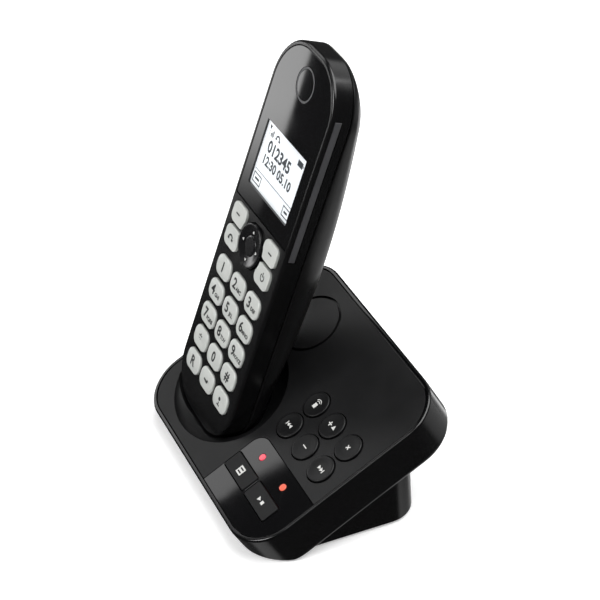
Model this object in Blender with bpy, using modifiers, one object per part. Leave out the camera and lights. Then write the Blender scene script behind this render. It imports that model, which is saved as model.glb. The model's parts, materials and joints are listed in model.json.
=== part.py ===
"""Cordless telephone standing in its answering-machine base, as an assembly of separate pieces.

Metres, +Z up, +X to the user's right, +Y away from the user. The origin is under the middle of the
whole object, on the surface that it stands on. Two frames carry the pieces: the deck frame, whose XY
plane is the sloping top of the base, and the handset frame, whose XY plane is the handset's face,
with +Y running up the handset and +Z towards the user.
"""

import math

import bmesh
import bpy
from mathutils import Vector

# ---------------------------------------------------------------- driving dimensions, in metres
# Base
DECK_SLOPE = math.radians(29.5)  # the deck against the table
DECK_WIDTH = 0.1055
DECK_LENGTH = 0.0861  # up the slope
DECK_CORNER = 0.0170
DECK_THICKNESS = 0.017  # of the sloping body, square to the deck
RIM_HEIGHT = 0.0086  # the rim's front edge above the table
HOUSING_WALL = 0.0016
COVER_TOP = -0.0002  # the cover lies a hair below the rim
COVER_THICKNESS = 0.002
TUB_WALL = 0.002
TUB_LIP = -0.006  # how near the deck the tub's walls come
FOOT_HEIGHT = 0.0008  # the tub's floor above the table
FOOT_RADIUS = 0.0045
FOOT_SIDE = 0.038
FOOT_FRONT = 0.0212  # the front feet, from the deck's front edge
STAND_WIDTH = 0.098
STAND_REAR = 0.0696  # from the deck's front edge
STAND_CORNER = 0.010
STAND_FRONT = 0.0132
STAND_TOP = 0.045  # inside the deck's body
STAND_OVERLAP = 0.0007  # how far the wedge runs into the tub's floor

# Handset
LEAN = math.radians(70.9)  # the handset's face against the table
HANDSET_WIDTH = 0.047
HANDSET_LENGTH = 0.1515
HANDSET_X = -0.0245
FOOT_V = 0.01105  # where the face's lower end stands, up the deck
FOOT_SINK = 0.0039  # and how far it is under the deck
CORNER_LOW = 0.0165
CORNER_HIGH = 0.0195
PARTING = 0.008  # depth of the seam between the two cases
FACE_EDGE = 0.0011  # the rounding round the face
FACE_THICKNESS = 0.0026
CASE_WALL = 0.002
BULGE = 0.0163  # the back case's depth at its fullest
BULGE_PEAK = 0.072
BULGE_SPAN = 0.095
BACK_ROUND = 0.018  # how far in from its edge the back curves

# Face of the handset
KEY_PITCH_X, KEY_PITCH_Y = 0.0130, 0.0102
KEY_BRIDGE_X, KEY_BRIDGE_Y = 0.0016, 0.0019  # the face left between neighbouring keys
KEY_WIDTH, KEY_HEIGHT = KEY_PITCH_X - KEY_BRIDGE_X, KEY_PITCH_Y - KEY_BRIDGE_Y
KEY_CORNER = KEY_HEIGHT * 0.4
KEY_ROW_1 = 0.0573  # height of the row 1 2 3
KEY_RISE = 0.0008
KEY_SHOULDER = 0.0006  # how far in the top of a key is drawn
KEY_DEPTH = 0.003
PIP_RADIUS, PIP_HEIGHT = 0.0038, 0.0006
NAV_Y, NAV_RADIUS, NAV_RISE = 0.0741, 0.0083, 0.0012
SIDE_KEY_X, SIDE_KEY_WIDTH, SIDE_KEY_HEIGHT, SIDE_KEY_CORNER = 0.0137, 0.0108, 0.0080, 0.0026
NAV_MARGIN = 0.0013  # between the navigator and the keys beside it
UPPER_KEY_Y, LOWER_KEY_Y = 0.0791, 0.0697
LENS_BOTTOM, LENS_EDGE, LENS_THICKNESS, LENS_TOP = 0.0847, 0.0018, 0.0011, -0.0001
LENS_CORNER = 0.0008
SCREEN_WIDTH, SCREEN_BOTTOM, SCREEN_TOP = 0.0334, 0.0915, 0.1172
EAR_Y, EAR_RADIUS, EAR_SLOT = 0.1382, 0.0058, 0.0009

# Pocket that holds the handset
DISH_X, DISH_V = -0.0225, 0.0289
DISH_HALF_X, DISH_HALF_V, DISH_DEPTH = 0.0273, 0.0235, 0.0075
DISH_RAISE = 0.0006  # the bowl's widest level above the cover
POCKET_WALL = 0.0016
POCKET_CLEARANCE = 0.0008

# Battery cover
DOOR_WIDTH, DOOR_LOW, DOOR_HIGH, DOOR_CORNER = 0.031, 0.054, 0.106, 0.003
DOOR_DEPTH = -0.0145  # the level behind the face that the door's opening reaches
DOOR_ANGLE = math.radians(35)  # its way off, against the handset's back

# Controls on the deck
SPEAKER_X, SPEAKER_V, SPEAKER_RING = -0.0225, 0.0666, 0.0121
RING_GROOVE, RING_DEPTH = 0.0011, 0.0009
BUTTON_RADIUS, BUTTON_RISE, BUTTON_DEPTH = 0.0053, 0.0007, 0.003
BUTTON_X, BUTTON_V = 0.0267, 0.0382  # the middle button of the front row
BUTTON_PITCH_X, BUTTON_PITCH_V = 0.0132, 0.0121
PANEL_X, PANEL_V, PANEL_CORNER = 0.0080, 0.0291, 0.0055
TOUCH_WIDTH, TOUCH_HEIGHT, TOUCH_CORNER = 0.0164, 0.0072, 0.0008
TOUCH_X, TOUCH_PITCH, TOUCH_V = 0.0166, 0.0178, 0.0147
TOUCH_RISE = 0.0004
LAMP_RADIUS, LAMP_V = 0.0014, 0.0237
LAMP_SHIFT = 0.001  # of a lamp, from the middle of its key

GAP = 0.0003  # between pieces that touch
KEY_GAP = 0.0004  # round a key that moves

# ---------------------------------------------------------------- worked out from them
DECK_FRONT = -(DECK_LENGTH * math.cos(DECK_SLOPE) + DECK_THICKNESS * math.sin(DECK_SLOPE)) / 2
INSET = HOUSING_WALL + GAP
STAND_BACK_Y = DECK_FRONT + STAND_REAR
FLOOR = FOOT_HEIGHT + TUB_WALL
ARC_STEPS = 7  # in each rounded corner
SIDE_STEPS = 7  # along each straight side of the handset


def deck_point(x, v, n=0.0):
    """A point of the deck frame in the world: x across, v up the slope, n above the deck."""
    y = DECK_FRONT + v * math.cos(DECK_SLOPE) - n * math.sin(DECK_SLOPE)
    z = RIM_HEIGHT + v * math.sin(DECK_SLOPE) + n * math.cos(DECK_SLOPE)
    return Vector((x, y, z))


def clear_scene():
    for old in list(bpy.data.objects):
        bpy.data.objects.remove(old)


def collection(name):
    made = bpy.data.collections.new(name)
    bpy.context.scene.collection.children.link(made)
    return made


clear_scene()
PARTS = collection("cordless_phone")
CUTTERS = collection("cutters")


def frame(name, place, turn):
    """An empty that the pieces of one sloping frame hang on."""
    empty = bpy.data.objects.new(name, None)
    empty.location = place
    empty.rotation_euler = (turn, 0, 0)
    PARTS.objects.link(empty)
    return empty


DECK = frame("deck_frame", deck_point(0, 0), DECK_SLOPE)
HANDSET = frame("handset_frame", deck_point(HANDSET_X, FOOT_V, -FOOT_SINK), LEAN)


def plastic(name, colour, roughness, metallic=0.0):
    made = bpy.data.materials.new(name)
    made.use_nodes = True
    shader = made.node_tree.nodes["Principled BSDF"]
    shader.inputs["Base Color"].default_value = (*colour, 1)
    shader.inputs["Roughness"].default_value = roughness
    shader.inputs["Metallic"].default_value = metallic
    return made


MATTE = plastic("matte_black_abs", (0.012, 0.012, 0.013), 0.5)
GLOSS = plastic("gloss_black_abs", (0.006, 0.006, 0.007), 0.12)
SOFT = plastic("textured_black_abs", (0.010, 0.010, 0.011), 0.4)
SILVER = plastic("silver_key", (0.62, 0.63, 0.62), 0.35)
DARK_KEY = plastic("black_key", (0.010, 0.010, 0.011), 0.35)
SCREEN = plastic("display", (0.75, 0.78, 0.80), 0.3)
BOARD = plastic("circuit_board", (0.02, 0.16, 0.06), 0.5)
METAL = plastic("nickel", (0.60, 0.58, 0.55), 0.25, 1.0)
RUBBER = plastic("rubber", (0.03, 0.03, 0.03), 0.8)
CELL = plastic("battery_sleeve", (0.05, 0.20, 0.10), 0.4)
LAMP = plastic("red_lamp", (0.60, 0.03, 0.02), 0.2)


# ---------------------------------------------------------------- shapes
def rounded(x0, x1, y0, y1, low, high=None, steps=ARC_STEPS):
    """Points of a rounded rectangle, anticlockwise from its lower right corner."""
    high = low if high is None else high
    limit = min(x1 - x0, y1 - y0) / 2 * 0.999
    low, high = min(low, limit), min(high, limit)
    corners = (
        (x1 - low, y0 + low, low, -90),
        (x1 - high, y1 - high, high, 0),
        (x0 + high, y1 - high, high, 90),
        (x0 + low, y0 + low, low, 180),
    )
    points = []
    for cx, cy, radius, start in corners:
        for i in range(steps + 1):
            angle = math.radians(start + 90 * i / steps)
            points.append((cx + radius * math.cos(angle), cy + radius * math.sin(angle)))
    return points


def circle(cx, cy, radius, steps=20):
    turn = 2 * math.pi / steps
    return [(cx + radius * math.cos(i * turn), cy + radius * math.sin(i * turn)) for i in range(steps)]


def place(made, parent, material, cutter=False):
    (CUTTERS if cutter else PARTS).objects.link(made)
    made.parent = parent
    if cutter:
        made.hide_render = True
        made.display_type = "WIRE"
    elif material:
        made.data.materials.append(material)
    return made


def finish(name, mesh, parent, material, cutter):
    """Welds a new mesh, turns its faces outwards and puts it in place."""
    tidy = bmesh.new()
    tidy.from_mesh(mesh)
    bmesh.ops.remove_doubles(tidy, verts=tidy.verts, dist=1e-6)
    bmesh.ops.recalc_face_normals(tidy, faces=tidy.faces)
    tidy.to_mesh(mesh)
    tidy.free()
    return place(bpy.data.objects.new(name, mesh), parent, material, cutter)


def plate(name, loops, low, high, parent=None, material=None, cutter=False):
    """A flat outline, with any holes in it, from height low to height high."""
    curve = bpy.data.curves.new(name, "CURVE")
    curve.dimensions = "2D"
    curve.fill_mode = "BOTH"
    curve.extrude = (high - low) / 2
    for loop in loops:
        spline = curve.splines.new("POLY")
        spline.points.add(len(loop) - 1)
        for point, (x, y) in zip(spline.points, loop):
            point.co = (x, y, 0, 1)
        spline.use_cyclic_u = True
    guide = bpy.data.objects.new(name + "_outline", curve)
    bpy.context.scene.collection.objects.link(guide)
    graph = bpy.context.evaluated_depsgraph_get()
    mesh = bpy.data.meshes.new_from_object(guide.evaluated_get(graph))
    mesh.name = name
    mesh.materials.clear()
    bpy.data.objects.remove(guide)
    for vertex in mesh.vertices:
        vertex.co.z += (low + high) / 2
    return finish(name, mesh, parent, material, cutter)


def block(name, x, y, z, parent=None, material=None, cutter=False):
    """A box between two limits on each axis."""
    shape = bmesh.new()
    bmesh.ops.create_cube(shape, size=1)
    for vertex in shape.verts:
        for axis, (low, high) in enumerate((x, y, z)):
            vertex.co[axis] = low + (vertex.co[axis] + 0.5) * (high - low)
    mesh = bpy.data.meshes.new(name)
    shape.to_mesh(mesh)
    shape.free()
    return place(bpy.data.objects.new(name, mesh), parent, material, cutter)


def turned(name, profile, at, parent=None, material=None, cutter=False, steps=20):
    """A solid turned about +Z at a place; the profile's (radius, height) points run from the top down."""
    mesh = bpy.data.meshes.new(name)
    edges = [(i, i + 1) for i in range(len(profile) - 1)]
    mesh.from_pydata([(radius, 0, height) for radius, height in profile], edges, [])
    made = place(bpy.data.objects.new(name, mesh), parent, material, cutter)
    made.location = at
    screw = made.modifiers.new("turn", "SCREW")
    screw.steps = screw.render_steps = steps
    screw.use_merge_vertices = True
    screw.merge_threshold = 0.00001
    return made


def disc(name, radius, low, high, at, parent=None, material=None, cutter=False, steps=20):
    profile = [(0, high), (radius, high), (radius, low), (0, low)]
    return turned(name, profile, at, parent, material, cutter, steps)


def cut(made, other, operation="DIFFERENCE"):
    modifier = made.modifiers.new(other.name, "BOOLEAN")
    modifier.operation = operation
    modifier.object = other
    modifier.solver = "EXACT"


def join(made, other):
    cut(made, other, "UNION")


def keep(made, other):
    cut(made, other, "INTERSECT")


# ---------------------------------------------------------------- the handset's outer form
def handset_ring(inset, height):
    """The handset's outline, drawn in by inset, at a height or at a function of the place along it."""
    half = HANDSET_WIDTH / 2 - inset
    low, high = max(CORNER_LOW - inset, half * 0.45), max(CORNER_HIGH - inset, half * 0.45)
    corners = rounded(-half, half, inset, HANDSET_LENGTH - inset, low, high)
    outline = []
    for i, (x, y) in enumerate(corners):
        outline.append((x, y))
        if i % (2 * ARC_STEPS + 2) == ARC_STEPS:
            rise = (corners[i + 1][1] - y) / SIDE_STEPS
            outline += [(x, y + rise * step) for step in range(1, SIDE_STEPS)]
    return [(x, y, height(y) if callable(height) else height) for x, y in outline]


def back_depth(y):
    """How far the back case stands behind the seam at a place along the handset."""
    return max(BULGE * (1 - ((y - BULGE_PEAK) / BULGE_SPAN) ** 2), 0.0012)


def front_rings(grow=0.0, bottom=-PARTING):
    bevel = FACE_EDGE * (1 - math.sqrt(0.5))  # at the middle of a quarter round
    levels = ((grow, FACE_EDGE), (grow - bevel, bevel), (grow - FACE_EDGE, 0.0), (bottom, 0.0))
    return [handset_ring(inset - grow, height) for height, inset in levels]


def back_rings(grow=0.0, first=False):
    """Rings from the seam to the back. The face of the seam itself comes first if it is asked for."""
    rings = [handset_ring(-grow, -PARTING - GAP / 2)] if first else []
    for degrees in (20, 40, 60, 80):
        angle = math.radians(degrees)
        inset = BACK_ROUND * (1 - math.cos(angle)) - grow
        share = math.sin(angle)
        rings.append(handset_ring(inset, lambda y, share=share: -PARTING - (back_depth(y) + grow) * share))
    return rings


def loft(name, rings, parent=None, material=None, cutter=False, strip=True):
    """A closed form through rings of equal count; its last face is a strip from side to side, or flat."""
    shape = bmesh.new()
    loops = [[shape.verts.new(point) for point in ring] for ring in rings]
    count = len(loops[0])
    shape.faces.new(loops[0])
    for upper, lower in zip(loops, loops[1:]):
        for i in range(count):
            shape.faces.new((upper[i - 1], lower[i - 1], lower[i], upper[i]))
    last = loops[-1]
    if strip:
        for i in range(count // 2 - 1):
            shape.faces.new((last[i], last[i + 1], last[-2 - i], last[-1 - i]))
    else:
        shape.faces.new(last)
    mesh = bpy.data.meshes.new(name)
    shape.to_mesh(mesh)
    shape.free()
    return finish(name, mesh, parent, material, cutter)


def handset_envelope(name, grow, cutter=True):
    """The whole handset, grown all round, for what has to clear it."""
    return loft(name, front_rings(grow, -PARTING + 0.001) + back_rings(grow), HANDSET, None, cutter)


# ---------------------------------------------------------------- base: housing, tub, cover
def deck_outline(inset):
    half = DECK_WIDTH / 2 - inset
    return rounded(-half, half, inset, DECK_LENGTH - inset, max(DECK_CORNER - inset, 0.002))


REACH = 0.2  # longer than anything that it cuts
CLEAR = 0.01  # past a surface that is cut through


def build_housing():
    housing = plate(
        "base_housing", [deck_outline(0), deck_outline(HOUSING_WALL)], -DECK_THICKNESS, 0, DECK, GLOSS
    )
    cut(housing, block("below_table", (-REACH, REACH), (-REACH, REACH), (-REACH, FOOT_HEIGHT), cutter=True))
    return housing


def build_tub():
    """The lower cabinet: a tub inside the housing, with the wedge that the base stands on."""
    tub = plate("base_tub", [deck_outline(INSET)], -DECK_THICKNESS, TUB_LIP, DECK, SOFT)
    cut(tub, bpy.data.objects["below_table"])

    half = STAND_WIDTH / 2
    wedge_outline = rounded(-half, half, DECK_FRONT + STAND_FRONT, STAND_BACK_Y, STAND_CORNER)
    wedge = plate("wedge", [wedge_outline], FOOT_HEIGHT, STAND_TOP, cutter=True)
    under_top = STAND_OVERLAP - DECK_THICKNESS
    under = plate("under_deck", [deck_outline(INSET)], -REACH, under_top, DECK, cutter=True)
    keep(wedge, under)
    join(tub, wedge)

    tub_floor = TUB_WALL - DECK_THICKNESS
    inner = plate("tub_inside", [deck_outline(INSET + TUB_WALL)], tub_floor, CLEAR, DECK, cutter=True)
    cut(inner, block("below_floor", (-REACH, REACH), (-REACH, REACH), (-REACH, FLOOR), cutter=True))
    cut(tub, inner)
    inside = half - TUB_WALL
    room_front, room_back = DECK_FRONT + STAND_FRONT + TUB_WALL, STAND_BACK_Y - TUB_WALL
    room = rounded(-inside, inside, room_front, room_back, STAND_CORNER - TUB_WALL)
    cut(tub, plate("wedge_inside", [room], FLOOR, REACH, cutter=True))
    cut(tub, handset_envelope("pocket_relief", POCKET_CLEARANCE + POCKET_WALL + 2 * GAP))
    return tub


def build_cover():
    """The matte deck, with the pocket for the handset, the button holes and the speaker's ring."""
    holes = [circle(x, v, BUTTON_RADIUS + KEY_GAP, 16) for _, x, v in round_buttons()]
    low = COVER_TOP - COVER_THICKNESS
    cover = plate("base_cover", [deck_outline(INSET), *holes], low, COVER_TOP, DECK, MATTE)
    above = block("above_deck", (-REACH, REACH), (-REACH, REACH), (low / 2, REACH), DECK, cutter=True)

    posts = [upright(f"post_{side}", x, POST_RADIUS, BOSS_TOP + GAP, POST_TOP) for side, x in BASE_SCREWS]
    well_shell = handset_envelope("well_shell", POCKET_CLEARANCE + POCKET_WALL)
    for shell in (dish("dish_shell", POCKET_WALL), well_shell, *posts):
        cut(shell, above)
        join(cover, shell)
    cut(cover, dish("dish", 0.0))
    cut(cover, handset_envelope("well", POCKET_CLEARANCE))
    for side, x in BASE_SCREWS:
        cut(cover, upright(f"pilot_{side}", x, PILOT_RADIUS, 0, BOSS_TOP + PILOT_DEPTH))
    cut(cover, plate("panel_notch", [panel_outline(GAP)], -CLEAR, CLEAR, DECK, cutter=True))
    ring = [circle(SPEAKER_X, SPEAKER_V, SPEAKER_RING + side * RING_GROOVE / 2, 32) for side in (1, -1)]
    cut(cover, plate("speaker_groove", ring, COVER_TOP - RING_DEPTH, CLEAR, DECK, cutter=True))
    half = CONTACT_HALF + KEY_GAP
    for side, x in SIDES:
        sides = (x - half, x + half)
        slot = block(f"contact_slot_{side}", sides, WELL_SLOT, CONTACT_SLOT, HANDSET, cutter=True)
        cut(cover, slot)
    return cover


def dish(name, grow):
    """The shallow oval bowl round the handset's foot."""
    shape = bmesh.new()
    bmesh.ops.create_uvsphere(shape, u_segments=28, v_segments=12, radius=1)
    for vertex in shape.verts:
        vertex.co.x = DISH_X + vertex.co.x * (DISH_HALF_X + grow)
        vertex.co.y = DISH_V + vertex.co.y * (DISH_HALF_V + grow)
        vertex.co.z = COVER_TOP + DISH_RAISE + vertex.co.z * (DISH_DEPTH + DISH_RAISE + grow)
    mesh = bpy.data.meshes.new(name)
    shape.to_mesh(mesh)
    shape.free()
    return place(bpy.data.objects.new(name, mesh), DECK, None, True)


# ---------------------------------------------------------------- base: controls
def round_buttons():
    """Name, x and v of the six round buttons, front row first."""
    rows = (("skip_back", "volume_down", "skip_forward"), ("locator", "volume_up", "erase"))
    for row, names in enumerate(rows):
        for column, name in enumerate(names):
            x = BUTTON_X + (column - 1) * BUTTON_PITCH_X
            yield f"button_{name}", x, BUTTON_V + row * BUTTON_PITCH_V


def panel_outline(grow):
    """The corner of the deck that the glossy panel fills, its inner corner rounded."""
    reach = DECK_WIDTH
    return rounded(PANEL_X - grow, reach, -reach, PANEL_V + grow, PANEL_CORNER + grow)


def touch_keys():
    """Name and x of the two oblong keys in the panel."""
    return (("key_answer_on", TOUCH_X), ("key_play_stop", TOUCH_X + TOUCH_PITCH))


def oblong(x, v, grow=0.0):
    half, tall = TOUCH_WIDTH / 2 + grow, TOUCH_HEIGHT / 2 + grow
    return rounded(x - half, x + half, v - tall, v + tall, TOUCH_CORNER + grow, steps=3)


def build_controls():
    low = COVER_TOP - COVER_THICKNESS
    panel = plate("control_panel", [deck_outline(INSET)], low, COVER_TOP, DECK, GLOSS)
    keep(panel, plate("panel_area", [panel_outline(0)], -CLEAR, CLEAR, DECK, cutter=True))
    lamps = [x + LAMP_SHIFT for _, x in touch_keys()]
    openings = [oblong(x, TOUCH_V, KEY_GAP) for _, x in touch_keys()]
    openings += [circle(x, LAMP_V, LAMP_RADIUS + GAP, 12) for x in lamps]
    cut(panel, plate("panel_openings", openings, -CLEAR, CLEAR, DECK, cutter=True))

    for name, x in touch_keys():
        plate(name, [oblong(x, TOUCH_V)], COVER_TOP - BUTTON_DEPTH, COVER_TOP + TOUCH_RISE, DECK, DARK_KEY)
    top = COVER_TOP + BUTTON_RISE
    shoulder = BUTTON_RISE * 0.7
    dished = [
        (0, top - shoulder * 0.6),
        (BUTTON_RADIUS * 0.6, top - shoulder * 0.4),
        (BUTTON_RADIUS - shoulder, top),
        (BUTTON_RADIUS, top - shoulder),
        (BUTTON_RADIUS, COVER_TOP - BUTTON_DEPTH),
        (0, COVER_TOP - BUTTON_DEPTH),
    ]
    for name, x, v in round_buttons():
        turned(name, dished, (x, v, 0), DECK, DARK_KEY, steps=16)

    sides = (lamps[0] - GUIDE_HALF, lamps[1] + GUIDE_HALF)
    depth = (LAMP_V - GUIDE_HALF, LAMP_V + GUIDE_HALF)
    guide = block("lamp_guide", sides, depth, (GUIDE_TOP - GUIDE_THICKNESS, GUIDE_TOP), DECK, LAMP)
    pin_top = COVER_TOP - GAP / 3
    foot = GUIDE_TOP - GUIDE_THICKNESS / 2
    for i, x in enumerate(lamps):
        at = (x, LAMP_V, 0)
        join(guide, disc(f"lamp_pin_{i}", LAMP_RADIUS, foot, pin_top, at, DECK, cutter=True, steps=12))


# ---------------------------------------------------------------- base: inside and underneath
CONTACT_X, CONTACT_HALF = 0.009, 0.001  # the charging contacts, in the handset frame
SIDES = (("left", -CONTACT_X), ("right", CONTACT_X))
CONTACT_LEVEL, CONTACT_THICKNESS = -0.006, 0.0016
CONTACT_SLOT = (CONTACT_LEVEL - 0.0012, CONTACT_LEVEL + 0.0012)
CONTACT_DEPTH = (CONTACT_LEVEL - CONTACT_THICKNESS / 2, CONTACT_LEVEL + CONTACT_THICKNESS / 2)
BASE_CONTACT_LENGTH, BASE_CONTACT_END = 0.0039, -0.0003
WELL_SLOT = (-0.008, 0.001)  # from under the well's floor to inside the well
TERMINAL_SLOT_HALF = 0.0029
TERMINAL_START, TERMINAL_END = 0.0004, 0.0026
GUIDE_HALF, GUIDE_TOP, GUIDE_THICKNESS = 0.0018, -0.0044, 0.0014

SPEAKER_FRONT = -0.0030  # under the cover
SPEAKER_RADIUS, SPEAKER_DEEP, SPEAKER_MAGNET, SPEAKER_MAGNET_DEEP = 0.0128, 0.0032, 0.0075, 0.0085
BOARD_LEFT, BOARD_RIGHT, BOARD_LOW, BOARD_HIGH = 0.0095, 0.0455, 0.0120, 0.0634
BOARD_TOP, BOARD_THICKNESS = -0.0076, 0.0016

JACK_Z = 0.0115
LINE_JACK_X, LINE_JACK_HALF, LINE_JACK_TALL = 0.010, 0.007, 0.006
POWER_JACK_X, POWER_JACK_HALF, POWER_JACK_TALL = 0.030, 0.0045, 0.0055
JACK_DEPTH, JACK_WALL = 0.013, 0.002
BARREL_RADIUS, PIN_RADIUS = 0.0032, 0.001
PIN_LENGTH = JACK_DEPTH - 0.003

BASE_SCREWS = (("left", -0.040), ("right", BUTTON_X + BUTTON_PITCH_X / 2))
# the posts pass midway between the rows of buttons, at three quarters of their depth
BASE_SCREW_Y = deck_point(0, BUTTON_V + BUTTON_PITCH_V / 2, -BUTTON_DEPTH * 0.75).y
SINK_TOP = FOOT_HEIGHT + 0.0042
BOSS_RADIUS, BOSS_TOP = 0.0042, FOOT_HEIGHT + 0.007
POST_RADIUS, PILOT_RADIUS, POST_TOP, PILOT_DEPTH = 0.0028, 0.0014, 0.06, 0.010
SINK_RADIUS, SCREW_HEAD, SCREW_LENGTH, SCREW_HEAD_HEIGHT = 0.0031, 0.0027, 0.011, 0.0018
FOOT_INSET = 0.0125  # the rear feet, from the wedge's back


def build_base_inside(tub):
    rear = SPEAKER_FRONT - SPEAKER_MAGNET_DEEP
    taper = SPEAKER_FRONT - SPEAKER_DEEP - (SPEAKER_RADIUS - SPEAKER_MAGNET) / 2
    profile = [
        (0, SPEAKER_FRONT),
        (SPEAKER_RADIUS, SPEAKER_FRONT),
        (SPEAKER_RADIUS, SPEAKER_FRONT - SPEAKER_DEEP),
        (SPEAKER_MAGNET, taper),
        (SPEAKER_MAGNET, rear),
        (0, rear),
    ]
    turned("base_speaker", profile, (SPEAKER_X, SPEAKER_V, 0), DECK, METAL)
    sides, depth = (BOARD_LEFT, BOARD_RIGHT), (BOARD_LOW, BOARD_HIGH)
    board = block("base_circuit_board", sides, depth, (BOARD_TOP - BOARD_THICKNESS, BOARD_TOP), DECK, BOARD)
    for side, x in BASE_SCREWS:
        cut(board, upright(f"post_room_{side}", x, POST_RADIUS + 2 * GAP, 0, POST_TOP))
    along = (BASE_CONTACT_END - BASE_CONTACT_LENGTH, BASE_CONTACT_END)
    for side, x in SIDES:
        sides = (x - CONTACT_HALF, x + CONTACT_HALF)
        block(f"base_charge_contact_{side}", sides, along, CONTACT_DEPTH, HANDSET, METAL)
    build_jacks(tub)
    build_fastenings(tub)


def build_jacks(tub):
    back, front = STAND_BACK_Y, STAND_BACK_Y - JACK_DEPTH
    for name, x, half, tall in (
        ("phone_line_jack", LINE_JACK_X, LINE_JACK_HALF, LINE_JACK_TALL),
        ("power_jack", POWER_JACK_X, POWER_JACK_HALF, POWER_JACK_TALL),
    ):
        sides, height = (x - half, x + half), (JACK_Z - tall, JACK_Z + tall)
        jack = block(name, sides, (front, back), height, None, SOFT)
        opening = [(low - GAP, high + GAP) for low, high in (sides, height)]
        cut(tub, block(name + "_hole", opening[0], (front - GAP, back + CLEAR), opening[1], cutter=True))
        if name == "phone_line_jack":
            wide = (sides[0] + JACK_WALL, sides[1] - JACK_WALL)
            tall_room = (height[0] + JACK_WALL, height[1] - JACK_WALL * 0.75)
            cut(jack, block("plug_room", wide, (front + JACK_WALL, back + CLEAR), tall_room, cutter=True))
        else:
            at = (x, front + JACK_WALL, JACK_Z)
            bore = disc("barrel_room", BARREL_RADIUS, 0, JACK_DEPTH, at, None, cutter=True, steps=16)
            bore.rotation_euler = (-math.pi / 2, 0, 0)
            cut(jack, bore)
            at = (x, front + JACK_WALL / 2, JACK_Z)
            pin = disc("barrel_pin", PIN_RADIUS, 0, PIN_LENGTH, at, None, cutter=True, steps=10)
            pin.rotation_euler = (-math.pi / 2, 0, 0)
            join(jack, pin)


def build_fastenings(tub):
    for side, x in BASE_SCREWS:
        join(tub, upright(f"boss_{side}", x, BOSS_RADIUS, FOOT_HEIGHT + TUB_WALL / 4, BOSS_TOP))
        cut(tub, upright(f"sink_{side}", x, SINK_RADIUS, -CLEAR, SINK_TOP))
        cut(tub, upright(f"bore_{side}", x, PILOT_RADIUS + GAP * 2 / 3, -CLEAR, 2 * CLEAR))
        screw("base_screw_" + side, (x, BASE_SCREW_Y, 0), SINK_TOP - GAP)

    for row, y in (("front", DECK_FRONT + FOOT_FRONT), ("rear", STAND_BACK_Y - FOOT_INSET)):
        for side, x in (("left", -FOOT_SIDE), ("right", FOOT_SIDE)):
            disc(f"foot_{row}_{side}", FOOT_RADIUS, 0, FOOT_HEIGHT - GAP, (x, y, 0), None, RUBBER, steps=16)


def upright(name, x, radius, low, high):
    """A round cutter on the upright line of one of the base's screws."""
    return disc(name, radius, low, high, (x, BASE_SCREW_Y, 0), None, cutter=True, steps=12)


def screw(name, at, seat):
    """A self-tapping screw whose head sits under a seat and whose shank runs on upwards."""
    head, shank = seat - SCREW_HEAD_HEIGHT, PILOT_RADIUS - GAP
    profile = [(0, seat + SCREW_LENGTH), (shank, seat + SCREW_LENGTH), (shank, seat)]
    profile += [(SCREW_HEAD, seat), (SCREW_HEAD, head), (0, head)]
    return turned(name, profile, at, None, METAL, steps=12)


# ---------------------------------------------------------------- handset
def key_places():
    """Name, x and y of the fifteen keys in rows."""
    rows = (
        ("1", "2", "3"),
        ("4", "5", "6"),
        ("7", "8", "9"),
        ("star", "0", "hash"),
        ("recall", "redial", "mute"),
    )
    for row, names in enumerate(rows):
        for column, name in enumerate(names):
            yield f"key_{name}", (column - 1) * KEY_PITCH_X, KEY_ROW_1 - row * KEY_PITCH_Y


def side_keys():
    """Name, side and y of the four keys beside the navigator."""
    return (
        ("key_soft_left", -1, UPPER_KEY_Y),
        ("key_soft_right", 1, UPPER_KEY_Y),
        ("key_talk", -1, LOWER_KEY_Y),
        ("key_off", 1, LOWER_KEY_Y),
    )


def key_outline(x, y, grow=0.0):
    half, tall = KEY_WIDTH / 2 + grow, KEY_HEIGHT / 2 + grow
    return rounded(x - half, x + half, y - tall, y + tall, KEY_CORNER + grow, steps=3)


def side_key_outline(side, y, grow=0.0):
    """An oblong beside the navigator, hollowed where it passes the navigator's round edge."""
    half, tall = SIDE_KEY_WIDTH / 2 + grow, SIDE_KEY_HEIGHT / 2 + grow
    x = side * SIDE_KEY_X
    keep_off = NAV_RADIUS + NAV_MARGIN - grow
    points = []
    for px, py in rounded(x - half, x + half, y - tall, y + tall, SIDE_KEY_CORNER + grow, steps=4):
        away = math.hypot(px, py - NAV_Y)
        if away < keep_off:
            px, py = px * keep_off / away, NAV_Y + (py - NAV_Y) * keep_off / away
        points.append((px, py))
    return points


def lens_outline(grow):
    """The glossy window: the face's own outline, drawn in, and cut off straight above the keys."""
    half = HANDSET_WIDTH / 2 - LENS_EDGE + grow
    top = HANDSET_LENGTH - LENS_EDGE + grow
    return rounded(-half, half, LENS_BOTTOM - grow, top, LENS_CORNER, CORNER_HIGH - LENS_EDGE + grow)


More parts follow.
